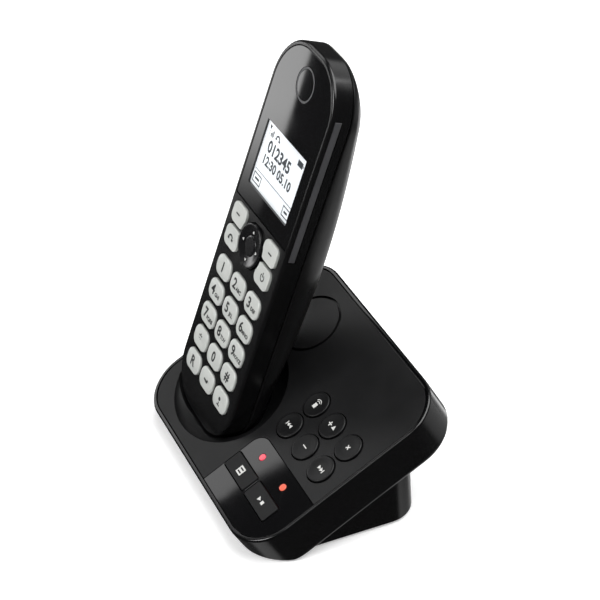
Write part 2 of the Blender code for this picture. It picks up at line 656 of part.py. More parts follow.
def build_cases():
    front = loft("handset_front_case", front_rings(0.0, -PARTING + GAP / 2), HANDSET, GLOSS, strip=False)
    hollow = handset_hollow("front_hollow", -REACH, -FACE_THICKNESS)
    cut(front, hollow)
    openings = [key_outline(x, y, KEY_GAP) for _, x, y in key_places()]
    openings += [side_key_outline(side, y, KEY_GAP) for _, side, y in side_keys()]
    openings.append(circle(0, NAV_Y, NAV_RADIUS + KEY_GAP, 24))
    half = SCREEN_WIDTH / 2 + LENS_CORNER
    low, high = SCREEN_BOTTOM - LENS_CORNER, SCREEN_TOP + LENS_CORNER
    openings.append(rounded(-half, half, low, high, LENS_CORNER, steps=1))
    cut(front, plate("face_openings", openings, -2 * FACE_THICKNESS, CLEAR, HANDSET, cutter=True))
    floor = LENS_TOP - LENS_THICKNESS - GAP
    cut(front, plate("lens_recess", [lens_outline(GAP)], floor, CLEAR, HANDSET, cutter=True))
    for side, x in SIDES:
        slot = (x - TERMINAL_SLOT_HALF, x + TERMINAL_SLOT_HALF)
        along = (-CLEAR, 3 * CASE_WALL)
        cut(front, block(f"terminal_slot_{side}", slot, along, CONTACT_SLOT, HANDSET, cutter=True))
        strip, along = (slot[0] + GAP, slot[1] - GAP), (TERMINAL_START, TERMINAL_END)
        block(f"handset_charge_contact_{side}", strip, along, CONTACT_DEPTH, HANDSET, METAL)

    back = loft("handset_back_case", back_rings(first=True), HANDSET, SOFT)
    mouth = handset_ring(CASE_WALL, -PARTING / 2)
    inside = loft("back_hollow", [mouth] + back_rings(-CASE_WALL), HANDSET, cutter=True)
    cut(back, inside)
    cut(back, door_prism("door_opening", 0.0))
    door = loft("battery_cover", back_rings(first=True), HANDSET, SOFT)
    cut(door, inside)
    keep(door, door_prism("door_area", GAP))


def handset_hollow(name, low, high):
    half = HANDSET_WIDTH / 2 - CASE_WALL
    top, corners = HANDSET_LENGTH - CASE_WALL, (CORNER_LOW - CASE_WALL, CORNER_HIGH - CASE_WALL)
    return plate(name, [rounded(-half, half, CASE_WALL, top, *corners)], low, high, HANDSET, cutter=True)


def door_prism(name, gap):
    """The battery cover's area, leaning so that the cover can leave along its slide without rubbing."""
    half = DOOR_WIDTH / 2 - gap
    outline = rounded(-half, half, DOOR_LOW + gap, DOOR_HIGH - gap, DOOR_CORNER)
    made = plate(name, [outline], -REACH / 5, DOOR_DEPTH, HANDSET, cutter=True)
    deepest = -PARTING - BULGE
    for vertex in made.data.vertices:
        vertex.co.y += (vertex.co.z - deepest) / math.tan(DOOR_ANGLE)
    return made


def build_keys():
    low, high = -KEY_DEPTH, KEY_RISE
    for name, x, y in key_places():
        made = plate(name, [key_outline(x, y)], low, high, HANDSET, SILVER)
        soften_top(made)
    for name, side, y in side_keys():
        plate(name, [side_key_outline(side, y)], low, high, HANDSET, SILVER)
    profile = [
        (0, NAV_RISE * 0.5),
        (NAV_RADIUS * 0.55, NAV_RISE * 0.65),
        (NAV_RADIUS * 0.86, NAV_RISE),
        (NAV_RADIUS, NAV_RISE / 3),
        (NAV_RADIUS, -KEY_DEPTH),
        (0, -KEY_DEPTH),
    ]
    turned("navigator_key", profile, (0, NAV_Y, 0), HANDSET, DARK_KEY, steps=24)
    pip = (-KEY_DEPTH - PIP_HEIGHT - GAP, -KEY_DEPTH - GAP)
    disc("navigator_pivot", PIP_RADIUS, *pip, (0, NAV_Y, 0), HANDSET, RUBBER, steps=16)


def soften_top(made):
    """Draws the top face in a little, so that the key has a shoulder."""
    shape = bmesh.new()
    shape.from_mesh(made.data)
    top = [face for face in shape.faces if face.normal.z > 0.9]
    bmesh.ops.inset_region(shape, faces=top, thickness=KEY_SHOULDER, depth=KEY_SHOULDER / 4)
    shape.to_mesh(made.data)
    shape.free()


LCD_BORDER, LCD_BACK, LCD_FRONT = 0.0018, -0.0056, -0.0030
MAT_HALF, MAT_LOW, MAT_HIGH, MAT_CORNER = 0.0203, 0.0095, 0.0855, 0.009
MAT_TOP, MAT_THICKNESS = -0.0042, 0.001
MAIN_BOARD_HALF, MAIN_BOARD_LOW, MAIN_BOARD_HIGH = 0.0205, 0.0045, 0.1445
MAIN_BOARD_TOP, MAIN_BOARD_THICKNESS = -0.0062, 0.0012
EARPIECE_RADIUS, EARPIECE_FRONT, EARPIECE_DEEP = 0.0068, -0.0029, 0.0021
CELL_RADIUS, CELL_LENGTH, CELL_X, CELL_Y = 0.0051, 0.0436, 0.0055, 0.0580
CELL_DEPTH = CELL_RADIUS + 0.0043 - PARTING - BULGE  # 4.3 mm from the cells to the back's fullest level
CELL_CAP_RADIUS, CELL_CAP_HEIGHT = 0.0018, 0.0009
SPRING_PLATE_HALF, SPRING_PLATE_THICKNESS = 0.0105, 0.001


def build_handset_inside():
    top = LENS_TOP
    lens = plate("display_window", [lens_outline(0)], top - LENS_THICKNESS, top, HANDSET, GLOSS)
    ring = [circle(0, EAR_Y, EAR_RADIUS + side * EAR_SLOT / 2, 24) for side in (1, -1)]
    cut(lens, plate("ear_groove", ring, top - LENS_THICKNESS / 2, CLEAR, HANDSET, cutter=True))

    half = SCREEN_WIDTH / 2 + LCD_BORDER
    screen_y = (SCREEN_BOTTOM - LCD_BORDER, SCREEN_TOP + LCD_BORDER)
    block("lcd_module", (-half, half), screen_y, (LCD_BACK, LCD_FRONT), HANDSET, SCREEN)
    mat = rounded(-MAT_HALF, MAT_HALF, MAT_LOW, MAT_HIGH, MAT_CORNER)
    plate("key_mat", [mat], MAT_TOP - MAT_THICKNESS, MAT_TOP, HANDSET, RUBBER)
    corners = (MAIN_BOARD_HALF * 0.7, MAIN_BOARD_HALF * 0.8)
    board = rounded(-MAIN_BOARD_HALF, MAIN_BOARD_HALF, MAIN_BOARD_LOW, MAIN_BOARD_HIGH, *corners)
    levels = (MAIN_BOARD_TOP - MAIN_BOARD_THICKNESS, MAIN_BOARD_TOP)
    plate("handset_circuit_board", [board], *levels, HANDSET, BOARD)
    magnet = EARPIECE_RADIUS * 0.6
    ear = [
        (0, EARPIECE_FRONT),
        (EARPIECE_RADIUS, EARPIECE_FRONT),
        (EARPIECE_RADIUS, EARPIECE_FRONT - EARPIECE_DEEP),
        (magnet, EARPIECE_FRONT - EARPIECE_DEEP * 1.4),
        (0, EARPIECE_FRONT - EARPIECE_DEEP * 1.4),
    ]
    turned("earpiece_speaker", ear, (0, EAR_Y, 0), HANDSET, METAL)
    build_batteries()


def build_batteries():
    tip = CELL_LENGTH + CELL_CAP_HEIGHT
    profile = [(0, tip), (CELL_CAP_RADIUS, tip), (CELL_CAP_RADIUS, CELL_LENGTH)]
    profile += [(CELL_RADIUS, CELL_LENGTH), (CELL_RADIUS, 0.0), (0, 0.0)]
    for side, x in (("left", -CELL_X), ("right", CELL_X)):
        cell = turned(f"battery_{side}", profile, (x, CELL_Y, CELL_DEPTH), HANDSET, CELL, steps=16)
        cell.rotation_euler = (-math.pi / 2, 0, 0)
    sides = (-SPRING_PLATE_HALF, SPRING_PLATE_HALF)
    end = CELL_Y - GAP - KEY_GAP / 4
    depth = (CELL_DEPTH - 0.8 * CELL_RADIUS, CELL_DEPTH + 0.72 * CELL_RADIUS)
    block("battery_spring_plate", sides, (end - SPRING_PLATE_THICKNESS, end), depth, HANDSET, METAL)


def main():
    build_housing()
    tub = build_tub()
    build_cover()
    build_controls()
    build_base_inside(tub)
    build_cases()
    build_keys()
    build_handset_inside()
    for made in PARTS.objects:
        if made.type == "MESH":
            made.data.shade_smooth()
            made.data.set_sharp_from_angle(angle=math.radians(35))


main()
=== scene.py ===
"""Looks of a cordless telephone that stands in its answering-machine base.

Every piece is modelled in one of two sloping frames, the base's deck and the handset's face, and is
then put in its place in the row's frame. In both, +X is to the right, +Y runs up the slope and +Z
stands out of the surface. Sizes are in metres.
"""

import json
import math

import bmesh
import bpy
from mathutils import Matrix, Quaternion, Vector


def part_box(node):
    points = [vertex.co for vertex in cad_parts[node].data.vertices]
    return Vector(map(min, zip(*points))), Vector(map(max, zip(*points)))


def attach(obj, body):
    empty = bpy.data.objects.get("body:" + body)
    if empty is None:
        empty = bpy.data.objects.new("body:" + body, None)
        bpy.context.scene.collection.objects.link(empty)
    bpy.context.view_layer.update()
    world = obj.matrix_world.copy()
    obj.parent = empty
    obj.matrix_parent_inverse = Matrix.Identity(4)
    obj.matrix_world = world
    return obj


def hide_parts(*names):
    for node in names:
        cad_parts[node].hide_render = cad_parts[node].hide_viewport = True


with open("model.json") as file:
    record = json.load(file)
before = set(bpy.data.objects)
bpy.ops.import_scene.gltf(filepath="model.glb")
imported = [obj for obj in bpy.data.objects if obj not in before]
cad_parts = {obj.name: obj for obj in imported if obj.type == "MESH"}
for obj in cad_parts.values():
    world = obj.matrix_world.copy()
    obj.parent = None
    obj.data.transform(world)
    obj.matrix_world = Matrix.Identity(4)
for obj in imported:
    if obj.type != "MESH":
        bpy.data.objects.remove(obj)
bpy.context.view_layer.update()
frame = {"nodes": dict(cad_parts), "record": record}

MM = 0.001

# ------------------------------------------------------------------ sizes
# Base
DECK_WIDTH, DECK_LENGTH, DECK_THICKNESS, DECK_CORNER = 0.1055, 0.0861, 0.017, 0.0170
RIM = 0.0016  # width of the housing's edge round the deck
INSET = 0.0019  # from the housing's outside to the cover
COVER_TOP, COVER_THICKNESS = -0.0002, 0.002
TUB_TOP, TUB_FLOOR = -0.006, 0.0008
STAND_HALF, STAND_FRONT, STAND_REAR, STAND_CORNER = 0.049, 0.0132, 0.0696, 0.012
STAND_DRAFT = 0.05  # how much the wedge narrows as it rises
DISH_X, DISH_V, DISH_HALF_X, DISH_HALF_V = -0.0225, 0.0289, 0.0273, 0.0235
DISH_DEPTH, DISH_RAISE, DISH_WALL = 0.0075, 0.0006, 0.0016
WELL_CLEARANCE, WELL_WALL = 0.0008, 0.0016
SPEAKER_X, SPEAKER_V, SPEAKER_RING, RING_GROOVE = -0.0225, 0.0666, 0.0121, 0.0011
BUTTON_RADIUS, BUTTON_RISE, BUTTON_DEPTH = 0.0053, 0.0007, 0.003
PANEL_X, PANEL_V, PANEL_CORNER = 0.0080, 0.0291, 0.0055
TOUCH_WIDTH, TOUCH_HEIGHT, TOUCH_V = 0.0164, 0.0072, 0.0147
LAMP_RADIUS, LAMP_V = 0.0014, 0.0237
FOOT_HEIGHT = 0.0005

# Handset
HANDSET_WIDTH, HANDSET_LENGTH = 0.047, 0.1515
CORNER_LOW, CORNER_HIGH = 0.0165, 0.0195
PARTING, FACE_EDGE, CASE_WALL, FACE_THICKNESS = 0.008, 0.0011, 0.002, 0.0026
BULGE, BULGE_PEAK, BULGE_SPAN, BACK_ROUND = 0.0163, 0.072, 0.095, 0.018
KEY_WIDTH, KEY_HEIGHT, KEY_CORNER, KEY_RISE, KEY_DEPTH = 0.0114, 0.0083, 0.0033, 0.0008, 0.003
NAV_Y, NAV_RADIUS, NAV_RISE = 0.0741, 0.0083, 0.0012
SIDE_KEY_X, SIDE_KEY_WIDTH, SIDE_KEY_HEIGHT = 0.0137, 0.0108, 0.0080
LENS_BOTTOM, LENS_EDGE, LENS_THICKNESS, LENS_TOP = 0.0847, 0.0018, 0.0011, -0.0001
SCREEN_WIDTH, SCREEN_BOTTOM, SCREEN_TOP = 0.0326, 0.0918, 0.1172
EAR_Y, EAR_RADIUS, EAR_SLOT = 0.1382, 0.0058, 0.0009
DOOR_WIDTH, DOOR_LOW, DOOR_HIGH, DOOR_ANGLE = 0.031, 0.054, 0.106, math.radians(35)
GRIP_LOW, GRIP_HIGH, GRIP_FRONT, GRIP_BACK = 0.081, 0.136, -0.0014, -0.0044

GAP = 0.0003
KEY_GAP = 0.0004
PRINT = 0.00003  # thickness of a printed mark

# ------------------------------------------------------------------ the two sloping frames
JOINTS = {joint["name"]: joint for joint in frame["record"]["behaviour"]["joints"]}
RIGHT = Vector((1, 0, 0))


def sloping_frame(out, origin):
    """The matrix of a frame whose +Z is out and whose +X is the row's."""
    out = out.normalized()
    turn = Matrix((RIGHT, out.cross(RIGHT), out)).transposed()
    return Matrix.Translation(origin) @ turn.to_4x4()


FACE_OUT = -Vector(JOINTS["key_5_press"]["axis"])
FACE_UP = FACE_OUT.cross(RIGHT).normalized()
HANDSET = sloping_frame(FACE_OUT, Vector(JOINTS["navigator_tilt_up_down"]["pos_m"]) - NAV_Y * FACE_UP)
DECK_OUT = -Vector(JOINTS["button_volume_up_press"]["axis"])
DECK_UP = DECK_OUT.cross(RIGHT).normalized()
housing_low, housing_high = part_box("base_housing")
RIM_FRONT = Vector((0, housing_low[1], housing_high[2] - DECK_LENGTH * DECK_UP.z))
DECK = sloping_frame(DECK_OUT, RIM_FRONT)
ROW = Matrix.Identity(4)


# ------------------------------------------------------------------ materials
def linear(code):
    """A colour written as sRGB hex, made linear."""
    values = [int(code[i : i + 2], 16) / 255 for i in (1, 3, 5)]
    return [v / 12.92 if v <= 0.04045 else ((v + 0.055) / 1.055) ** 2.4 for v in values] + [1.0]


def add(tree, kind, values=None, links=None, **settings):
    """Adds one node, with its settings, the values of its sockets and what is linked into them."""
    node = tree.nodes.new("ShaderNode" + kind)
    for name, value in settings.items():
        setattr(node, name, value)
    for socket, value in (values or {}).items():
        node.inputs[socket].default_value = value
    for socket, source in (links or {}).items():
        tree.links.new(source, node.inputs[socket])
    return node


def blank(name, **sockets):
    """A new material with its shader's sockets set, and its tree and shader."""
    made = bpy.data.materials.new(name)
    made.use_nodes = True
    tree = made.node_tree
    shader = tree.nodes["Principled BSDF"]
    for socket, value in sockets.items():
        shader.inputs[socket.replace("_", " ").title().replace("Ior", "IOR")].default_value = value
    place = add(tree, "TexCoord").outputs["Object"]
    return made, tree, shader, place


def moulded(name, code, light_code, roughness, grain_mm, depth_mm, wear=0.06, **sockets):
    """Injection-moulded ABS: the tool's own grain, and a polish that varies where fingers have been."""
    made, tree, shader, place = blank(name, ior=1.53, **sockets)
    grain = add(tree, "TexNoise", {"Scale": 1 / (grain_mm * MM), "Detail": 2.0}, {"Vector": place})
    handling = add(tree, "TexNoise", {"Scale": 1 / (14 * MM), "Detail": 4.0}, {"Vector": place})
    tint = add(
        tree, "Mix", {"A": linear(code), "B": linear(light_code)}, {"Factor": handling.outputs["Fac"]}, data_type="RGBA"
    )
    span = {"From Min": 0.3, "From Max": 0.7, "To Min": roughness - wear / 2, "To Max": roughness + wear}
    polish = add(tree, "MapRange", span, {"Value": handling.outputs["Fac"]})
    relief = add(tree, "Bump", {"Strength": 1.0, "Distance": depth_mm * MM}, {"Height": grain.outputs["Fac"]})
    tree.links.new(tint.outputs["Result"], shader.inputs["Base Color"])
    tree.links.new(polish.outputs["Result"], shader.inputs["Roughness"])
    tree.links.new(relief.outputs["Normal"], shader.inputs["Normal"])
    return made


def painted_silver(name):
    """Silver lacquer over moulded keys: fine flakes that glint, under a satin topcoat."""
    made, tree, shader, place = blank(name, metallic=0.15, coat_weight=0.25, coat_roughness=0.25)
    flakes = add(tree, "TexVoronoi", {"Scale": 1 / (0.12 * MM)}, {"Vector": place})
    soft = add(tree, "TexNoise", {"Scale": 1 / (5 * MM), "Detail": 3.0}, {"Vector": place})
    ramp = {"A": linear("#c3c6c2"), "B": linear("#d6d8d4")}
    tint = add(tree, "Mix", ramp, {"Factor": soft.outputs["Fac"]}, data_type="RGBA")
    glint = add(tree, "MapRange", {"To Min": 0.34, "To Max": 0.5}, {"Value": flakes.outputs["Distance"]})
    relief = add(tree, "Bump", {"Strength": 0.3, "Distance": 0.01 * MM}, {"Height": flakes.outputs["Distance"]})
    tree.links.new(tint.outputs["Result"], shader.inputs["Base Color"])
    tree.links.new(glint.outputs["Result"], shader.inputs["Roughness"])
    tree.links.new(relief.outputs["Normal"], shader.inputs["Normal"])
    return made


def liquid_crystal(name):
    """A liquid-crystal display behind acrylic: a pale field with the faint lines of its pixels, and a painted glow, as
    the field's colour is also emitted.
    """
    made, tree, shader, place = blank(name, roughness=0.3, coat_weight=1.0, coat_roughness=0.03)
    rows = add(tree, "TexWave", {"Scale": 1 / (0.9 * MM)}, {"Vector": place}, bands_direction="X")
    field = add(tree, "TexNoise", {"Scale": 1 / (30 * MM)}, {"Vector": place})
    pale = add(
        tree, "Mix", {"A": linear("#dfe5ea"), "B": linear("#f2f5f7")}, {"Factor": field.outputs["Fac"]}, data_type="RGBA"
    )
    lines = add(tree, "MapRange", {"To Min": 0.0, "To Max": 0.06}, {"Value": rows.outputs["Fac"]})
    tint = add(
        tree,
        "Mix",
        {"B": linear("#aab4bd")},
        {"Factor": lines.outputs["Result"], "A": pale.outputs["Result"]},
        data_type="RGBA",
    )
    tree.links.new(tint.outputs["Result"], shader.inputs["Base Color"])
    tree.links.new(tint.outputs["Result"], shader.inputs["Emission Color"])
    # Painted glow: the field's colour is emitted, to brighten it beyond the light that falls on it.
    shader.inputs["Emission Strength"].default_value = 0.35
    return made


def ink(name, code, roughness=0.5):
    """Pad-printing ink: opaque and a little uneven at its edges."""
    made, tree, shader, place = blank(name, roughness=roughness)
    mottle = add(tree, "TexNoise", {"Scale": 1 / (0.5 * MM)}, {"Vector": place})
    shade = add(tree, "MapRange", {"To Min": 0.85, "To Max": 1.0}, {"Value": mottle.outputs["Fac"]})
    tint = add(
        tree, "Mix", {"A": linear("#101012"), "B": linear(code)}, {"Factor": shade.outputs["Result"]}, data_type="RGBA"
    )
    tree.links.new(tint.outputs["Result"], shader.inputs["Base Color"])
    return made


def glowing(name, code, core, strength):
    """A clear red lens over a light-emitting diode: bright in the middle of the lens, deep at its edge."""
    made, tree, shader, place = blank(name, roughness=0.15, coat_weight=1.0, coat_roughness=0.05)
    facing = add(tree, "LayerWeight", {"Blend": 0.35})
    tint = add(
        tree, "Mix", {"A": linear(core), "B": linear(code)}, {"Factor": facing.outputs["Facing"]}, data_type="RGBA"
    )
    tree.links.new(tint.outputs["Result"], shader.inputs["Base Color"])
    tree.links.new(tint.outputs["Result"], shader.inputs["Emission Color"])
    shader.inputs["Emission Strength"].default_value = strength
    return made


def metal(name, code, roughness, grain_mm=0.25):
    """Bright plating over pressed sheet: fine drawing marks along the strip."""
    made, tree, shader, place = blank(name, metallic=1.0)
    stretch = add(tree, "Mapping", {"Scale": (1, 0.08, 1)}, {"Vector": place})
    marks = add(tree, "TexNoise", {"Scale": 1 / (grain_mm * MM), "Detail": 3.0}, {"Vector": stretch.outputs["Vector"]})
    polish = add(
        tree, "MapRange", {"To Min": roughness - 0.06, "To Max": roughness + 0.1}, {"Value": marks.outputs["Fac"]}
    )
    relief = add(tree, "Bump", {"Strength": 0.4, "Distance": 0.01 * MM}, {"Height": marks.outputs["Fac"]})
    shader.inputs["Base Color"].default_value = linear(code)
    tree.links.new(polish.outputs["Result"], shader.inputs["Roughness"])
    tree.links.new(relief.outputs["Normal"], shader.inputs["Normal"])
    return made


def solder_mask(name):
    """Green solder mask over copper tracks, which show as a paler raised net."""
    made, tree, shader, place = blank(name, roughness=0.35)
    tracks = add(tree, "TexBrick", {"Scale": 1 / (6 * MM), "Mortar Size": 0.06}, {"Vector": place})
    tracks.inputs["Color1"].default_value = linear("#0f4a26")
    tracks.inputs["Color2"].default_value = linear("#125530")
    tracks.inputs["Mortar"].default_value = linear("#2f8a4f")
    relief = add(tree, "Bump", {"Strength": 0.5, "Distance": 0.03 * MM}, {"Height": tracks.outputs["Fac"]})
    tree.links.new(tracks.outputs["Color"], shader.inputs["Base Color"])
    tree.links.new(relief.outputs["Normal"], shader.inputs["Normal"])
    return made


HOUSING_GLOSS = moulded("polished black ABS", "#040405", "#060607", 0.15, 1.6, 0.001, wear=0.03)
DECK_MATTE = moulded("spark-textured black ABS", "#0d0d0e", "#111112", 0.44, 0.3, 0.006, specular_ior_level=0.36)
TUB_SATIN = moulded("satin black ABS", "#040404", "#060607", 0.12, 0.8, 0.001, wear=0.03)
PANEL_GLOSS = moulded("piano black acrylic", "#060607", "#08080a", 0.03, 4.0, 0.0004, wear=0.01)
BUTTON_MATTE = moulded("matte black key ABS", "#0b0b0c", "#101011", 0.4, 0.3, 0.006, specular_ior_level=0.32)
TOUCH_MATTE = moulded("matte black oblong key ABS", "#0c0c0d", "#111112", 0.5, 0.3, 0.006, specular_ior_level=0.3)
FACE_SATIN = moulded("satin black case ABS", "#070708", "#0a0a0b", 0.2, 1.2, 0.0015)
BACK_SATIN = moulded("satin black back ABS", "#0a0a0b", "#0e0e0f", 0.3, 0.7, 0.003)
# The side inlay is a real strip, but its lighter grey is a painted reflection of the light along the handset's glossy
# side.
INLAY_GREY_PAINTED_REFLECTION = moulded("soft grey side inlay", "#3a3a3c", "#454548", 0.36, 0.5, 0.004)
EAR_SATIN = moulded("satin grey earpiece trim", "#4a4a4c", "#56565a", 0.3, 0.5, 0.002)
LENS_GLOSS = moulded("back-printed black acrylic", "#060607", "#08080a", 0.02, 5.0, 0.0003, wear=0.008)
NAV_GLOSS = moulded("gloss black navigator ABS", "#0d0d0e", "#121214", 0.16, 1.0, 0.003)
RUBBER = moulded("black thermoplastic rubber", "#1a1a1a", "#232323", 0.75, 0.3, 0.02)
NYLON = moulded("black nylon socket", "#101011", "#161617", 0.45, 0.3, 0.01)
SLEEVE = moulded("green shrink sleeve", "#1c5a34", "#24683e", 0.3, 0.8, 0.006)
SPEAKER_STEEL = metal("zinc-plated speaker basket", "#77797c", 0.4)
NICKEL = metal("nickel-plated spring strip", "#c9c5bd", 0.22)
GOLD = metal("gold-plated jack wire", "#d8a94c", 0.22)
SILVER = painted_silver("silver key lacquer")
DISPLAY = liquid_crystal("lit liquid-crystal display")
DISPLAY_DARK = ink("dark liquid-crystal segments", "#2b323a", 0.35)
WHITE_INK = ink("white pad-printing ink", "#d9d9d6")
BLACK_INK = ink("black pad-printing ink", "#1d1e20")
LAMP_RED = glowing("red message lamp", "#5a0c16", "#c83448", 0.9)
LAMP_ORANGE = glowing("amber-red answer lamp", "#641810", "#c85a44", 0.9)
BOARD = solder_mask("green circuit board")


# ------------------------------------------------------------------ modelling
def deselect():
    active = bpy.context.view_layer.objects.active
    if active and active.mode == "EDIT":
        bpy.ops.object.mode_set(mode="OBJECT")
    bpy.ops.object.select_all(action="DESELECT")


def only(piece):
    deselect()
    piece.select_set(True)
    bpy.context.view_layer.objects.active = piece


def edit(piece, elements="EDGE"):
    only(piece)
    bpy.ops.object.mode_set(mode="EDIT")
    bpy.ops.mesh.select_mode(type=elements)
    bpy.ops.mesh.select_all(action="DESELECT")


def done():
    bpy.ops.object.mode_set(mode="OBJECT")


def pick(piece, kind, test):
    """Selects the edges or faces of a piece in edit mode that pass a test."""
    bpy.ops.mesh.select_all(action="DESELECT")
    shape = bmesh.from_edit_mesh(piece.data)
    for element in getattr(shape, kind):
        if test(element):
            element.select_set(True)
    bmesh.update_edit_mesh(piece.data)


def bevel(width, segments):
    bpy.ops.mesh.bevel(offset=width, segments=segments, profile=0.5, affect="EDGES", clamp_overlap=True)


def level(edge, height):
    return all(abs(v.co.z - height) < 1e-6 for v in edge.verts)


def upright(edge):
    a, b = (v.co for v in edge.verts)
    return abs(a.x - b.x) < 1e-6 and abs(a.y - b.y) < 1e-6


def sized(name, x, y, z):
    """A cube primitive between two limits on each axis."""
    deselect()
    middle = [(low + high) / 2 for low, high in (x, y, z)]
    bpy.ops.mesh.primitive_cube_add(size=1, location=middle)
    piece = bpy.context.object
    piece.name = name
    piece.scale = [high - low for low, high in (x, y, z)]
    bpy.ops.object.transform_apply(location=True, rotation=True, scale=True)
    return piece


def slab(name, x, y, z, near=0.0, far=None, top=0.0, bottom=0.0, steps=10, rounds=3):
    """A plate with rounded corners, near and far along Y, and rounded edges above and below."""
    piece = sized(name, x, y, z)
    middle = (y[0] + y[1]) / 2
    edit(piece)
    for is_near, radius in ((True, near), (False, near if far is None else far)):
        if radius:
            pick(piece, "edges", lambda e, side=is_near: upright(e) and (e.verts[0].co.y < middle) == side)
            bevel(radius, steps)
    for height, radius in ((z[1], top), (z[0], bottom)):
        if radius:
            pick(piece, "edges", lambda e, h=height: level(e, h))
            bevel(radius, rounds)
    done()
    return piece


def drum(name, x, y, low, high, radius, top=0.0, bottom=0.0, sides=48, rounds=3):
    """A short cylinder with rounded edges."""
    deselect()
    bpy.ops.mesh.primitive_cylinder_add(
        vertices=sides, radius=radius, depth=high - low, location=(x, y, (low + high) / 2)
    )
    piece = bpy.context.object
    piece.name = name
    bpy.ops.object.transform_apply(location=True, rotation=True, scale=True)
    edit(piece)
    for height, width in ((high, top), (low, bottom)):
        if width:
            pick(piece, "edges", lambda e, h=height: level(e, h))
            bevel(width, rounds)
    done()
    return piece


def combine(piece, other, operation="DIFFERENCE"):
    """Cuts or joins with another piece, which is used up."""
    only(piece)
    modifier = piece.modifiers.new("cut", "BOOLEAN")
    modifier.operation = operation
    modifier.object = other
    modifier.solver = "EXACT"
    bpy.ops.object.modifier_apply(modifier=modifier.name)
    bpy.data.objects.remove(other)
    return piece


def merge(pieces, name):
    """Joins loose bodies, such as a key and the marks on it, into one piece; their materials stay."""
    deselect()
    for piece in pieces:
        piece.select_set(True)
    bpy.context.view_layer.objects.active = pieces[0]
    bpy.ops.object.join()
    pieces[0].name = name
    return pieces[0]


def paint(piece, material):
    piece.data.materials.clear()
    piece.data.materials.append(material)
    return piece


def settle(piece, matrix, body, nodes=(), smooth=35):
    """Puts a finished piece in its place, smooths it, hides the nodes it stands for, and ties it to its body."""
    piece.data.transform(matrix @ piece.matrix_world)
    piece.matrix_world = ROW
    only(piece)
    bpy.ops.object.shade_smooth_by_angle(angle=math.radians(smooth))
    level_out = piece.modifiers.new("level_out", "WEIGHTED_NORMAL")
    level_out.keep_sharp = True
    level_out.weight = 100
    bpy.ops.object.modifier_apply(modifier=level_out.name)
    if nodes:
        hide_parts(*nodes)
    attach(piece, body)
    return piece


# ------------------------------------------------------------------ printed marks
def printed(name, outlines, height, material):
    """Marks that stand a hair proud of a surface, from closed outlines."""
    curve = bpy.data.curves.new(name, "CURVE")
    curve.dimensions = "2D"
    curve.fill_mode = "BOTH"
    curve.extrude = PRINT / 2
    for outline in outlines:
        spline = curve.splines.new("POLY")
        spline.points.add(len(outline) - 1)
        for point, (x, y) in zip(spline.points, outline):
            point.co = (x, y, 0, 1)
        spline.use_cyclic_u = True
    return as_marks(name, curve, height, material)


def lettered(name, words, x, y, size, height, material, bold=0.00008, spacing=1.0):
    """Characters centred on a place."""
    curve = bpy.data.curves.new(name, "FONT")
    curve.body = words
    curve.size = size
    curve.align_x = "CENTER"
    curve.align_y = "CENTER"
    curve.extrude = PRINT / 2
    curve.resolution_u = 3
    curve.space_character = spacing
    curve.offset = bold
    made = as_marks(name, curve, height, material)
    made.data.transform(Matrix.Translation((x, y, 0)))
    return made


def as_marks(name, curve, height, material):
    guide = bpy.data.objects.new(name, curve)
    bpy.context.scene.collection.objects.link(guide)
    only(guide)
    bpy.ops.object.convert(target="MESH")
    made = bpy.context.object
    made.data.transform(Matrix.Translation((0, 0, height + PRINT / 2)))
    return paint(made, material)


def bar(x0, x1, y0, y1):
    return [(x0, y0), (x1, y0), (x1, y1), (x0, y1)]


def arrow(x, y, size, way):
    """A triangle that points along way, one of the four directions."""
    dx, dy = way
    tip = (x + dx * size * 0.5, y + dy * size * 0.5)
    back = (x - dx * size * 0.4, y - dy * size * 0.4)
    side = (dy * size * 0.5, dx * size * 0.5)
    return [tip, (back[0] + side[0], back[1] + side[1]), (back[0] - side[0], back[1] - side[1])]


def round_mark(x, y, radius, start=0, sweep=360, steps=16):
    angles = [math.radians(start + sweep * i / steps) for i in range(steps + (sweep < 360))]
    return [(x + radius * math.cos(a), y + radius * math.sin(a)) for a in angles]


def band(x, y, radius, width, start, sweep, steps=12):
    """Part of a ring."""
    outer = round_mark(x, y, radius + width / 2, start, sweep, steps)
    return outer + round_mark(x, y, radius - width / 2, start, sweep, steps)[::-1]


def receiver(x, y, size):
    """The usual outline of a handset, as on a key that answers."""
    arch = band(x, y - 0.25 * size, 0.42 * size, 0.2 * size, 25, 130)
    cups = [bar(x + s * 0.4 * size - 0.17 * size, x + s * 0.4 * size + 0.17 * size, y - 0.38 * size, y - 0.12 * size) for s in (-1, 1)]
    return [arch, *cups]


# ------------------------------------------------------------------ the handset's form
CORNER_POINTS, SIDE_POINTS = 14, 26


def handset_ring(inset, height):
    """The handset's outline drawn in by inset, at a height that is a number or a function of the place along it."""
    half = HANDSET_WIDTH / 2 - inset
    low, high = max(CORNER_LOW - inset, half * 0.45), max(CORNER_HIGH - inset, half * 0.45)
    low, high = min(low, half * 0.999), min(high, half * 0.999)
    top = HANDSET_LENGTH - inset
    corners = ((half - low, inset + low, low, -90), (half - high, top - high, high, 0))
    right = []
    for cx, cy, radius, start in corners:
        for i in range(CORNER_POINTS + 1):
            angle = math.radians(start + 90 * i / CORNER_POINTS)
            right.append((cx + radius * math.cos(angle), cy + radius * math.sin(angle)))
        if start < 0:
            rise = (corners[1][1] - cy) / SIDE_POINTS
            right += [(half, cy + rise * step) for step in range(1, SIDE_POINTS)]
    outline = right + [(-x, y) for x, y in reversed(right)]
    return [(x, y, height(y) if callable(height) else height) for x, y in outline]


def back_depth(y):
    return max(BULGE * (1 - ((y - BULGE_PEAK) / BULGE_SPAN) ** 2), 0.0012)


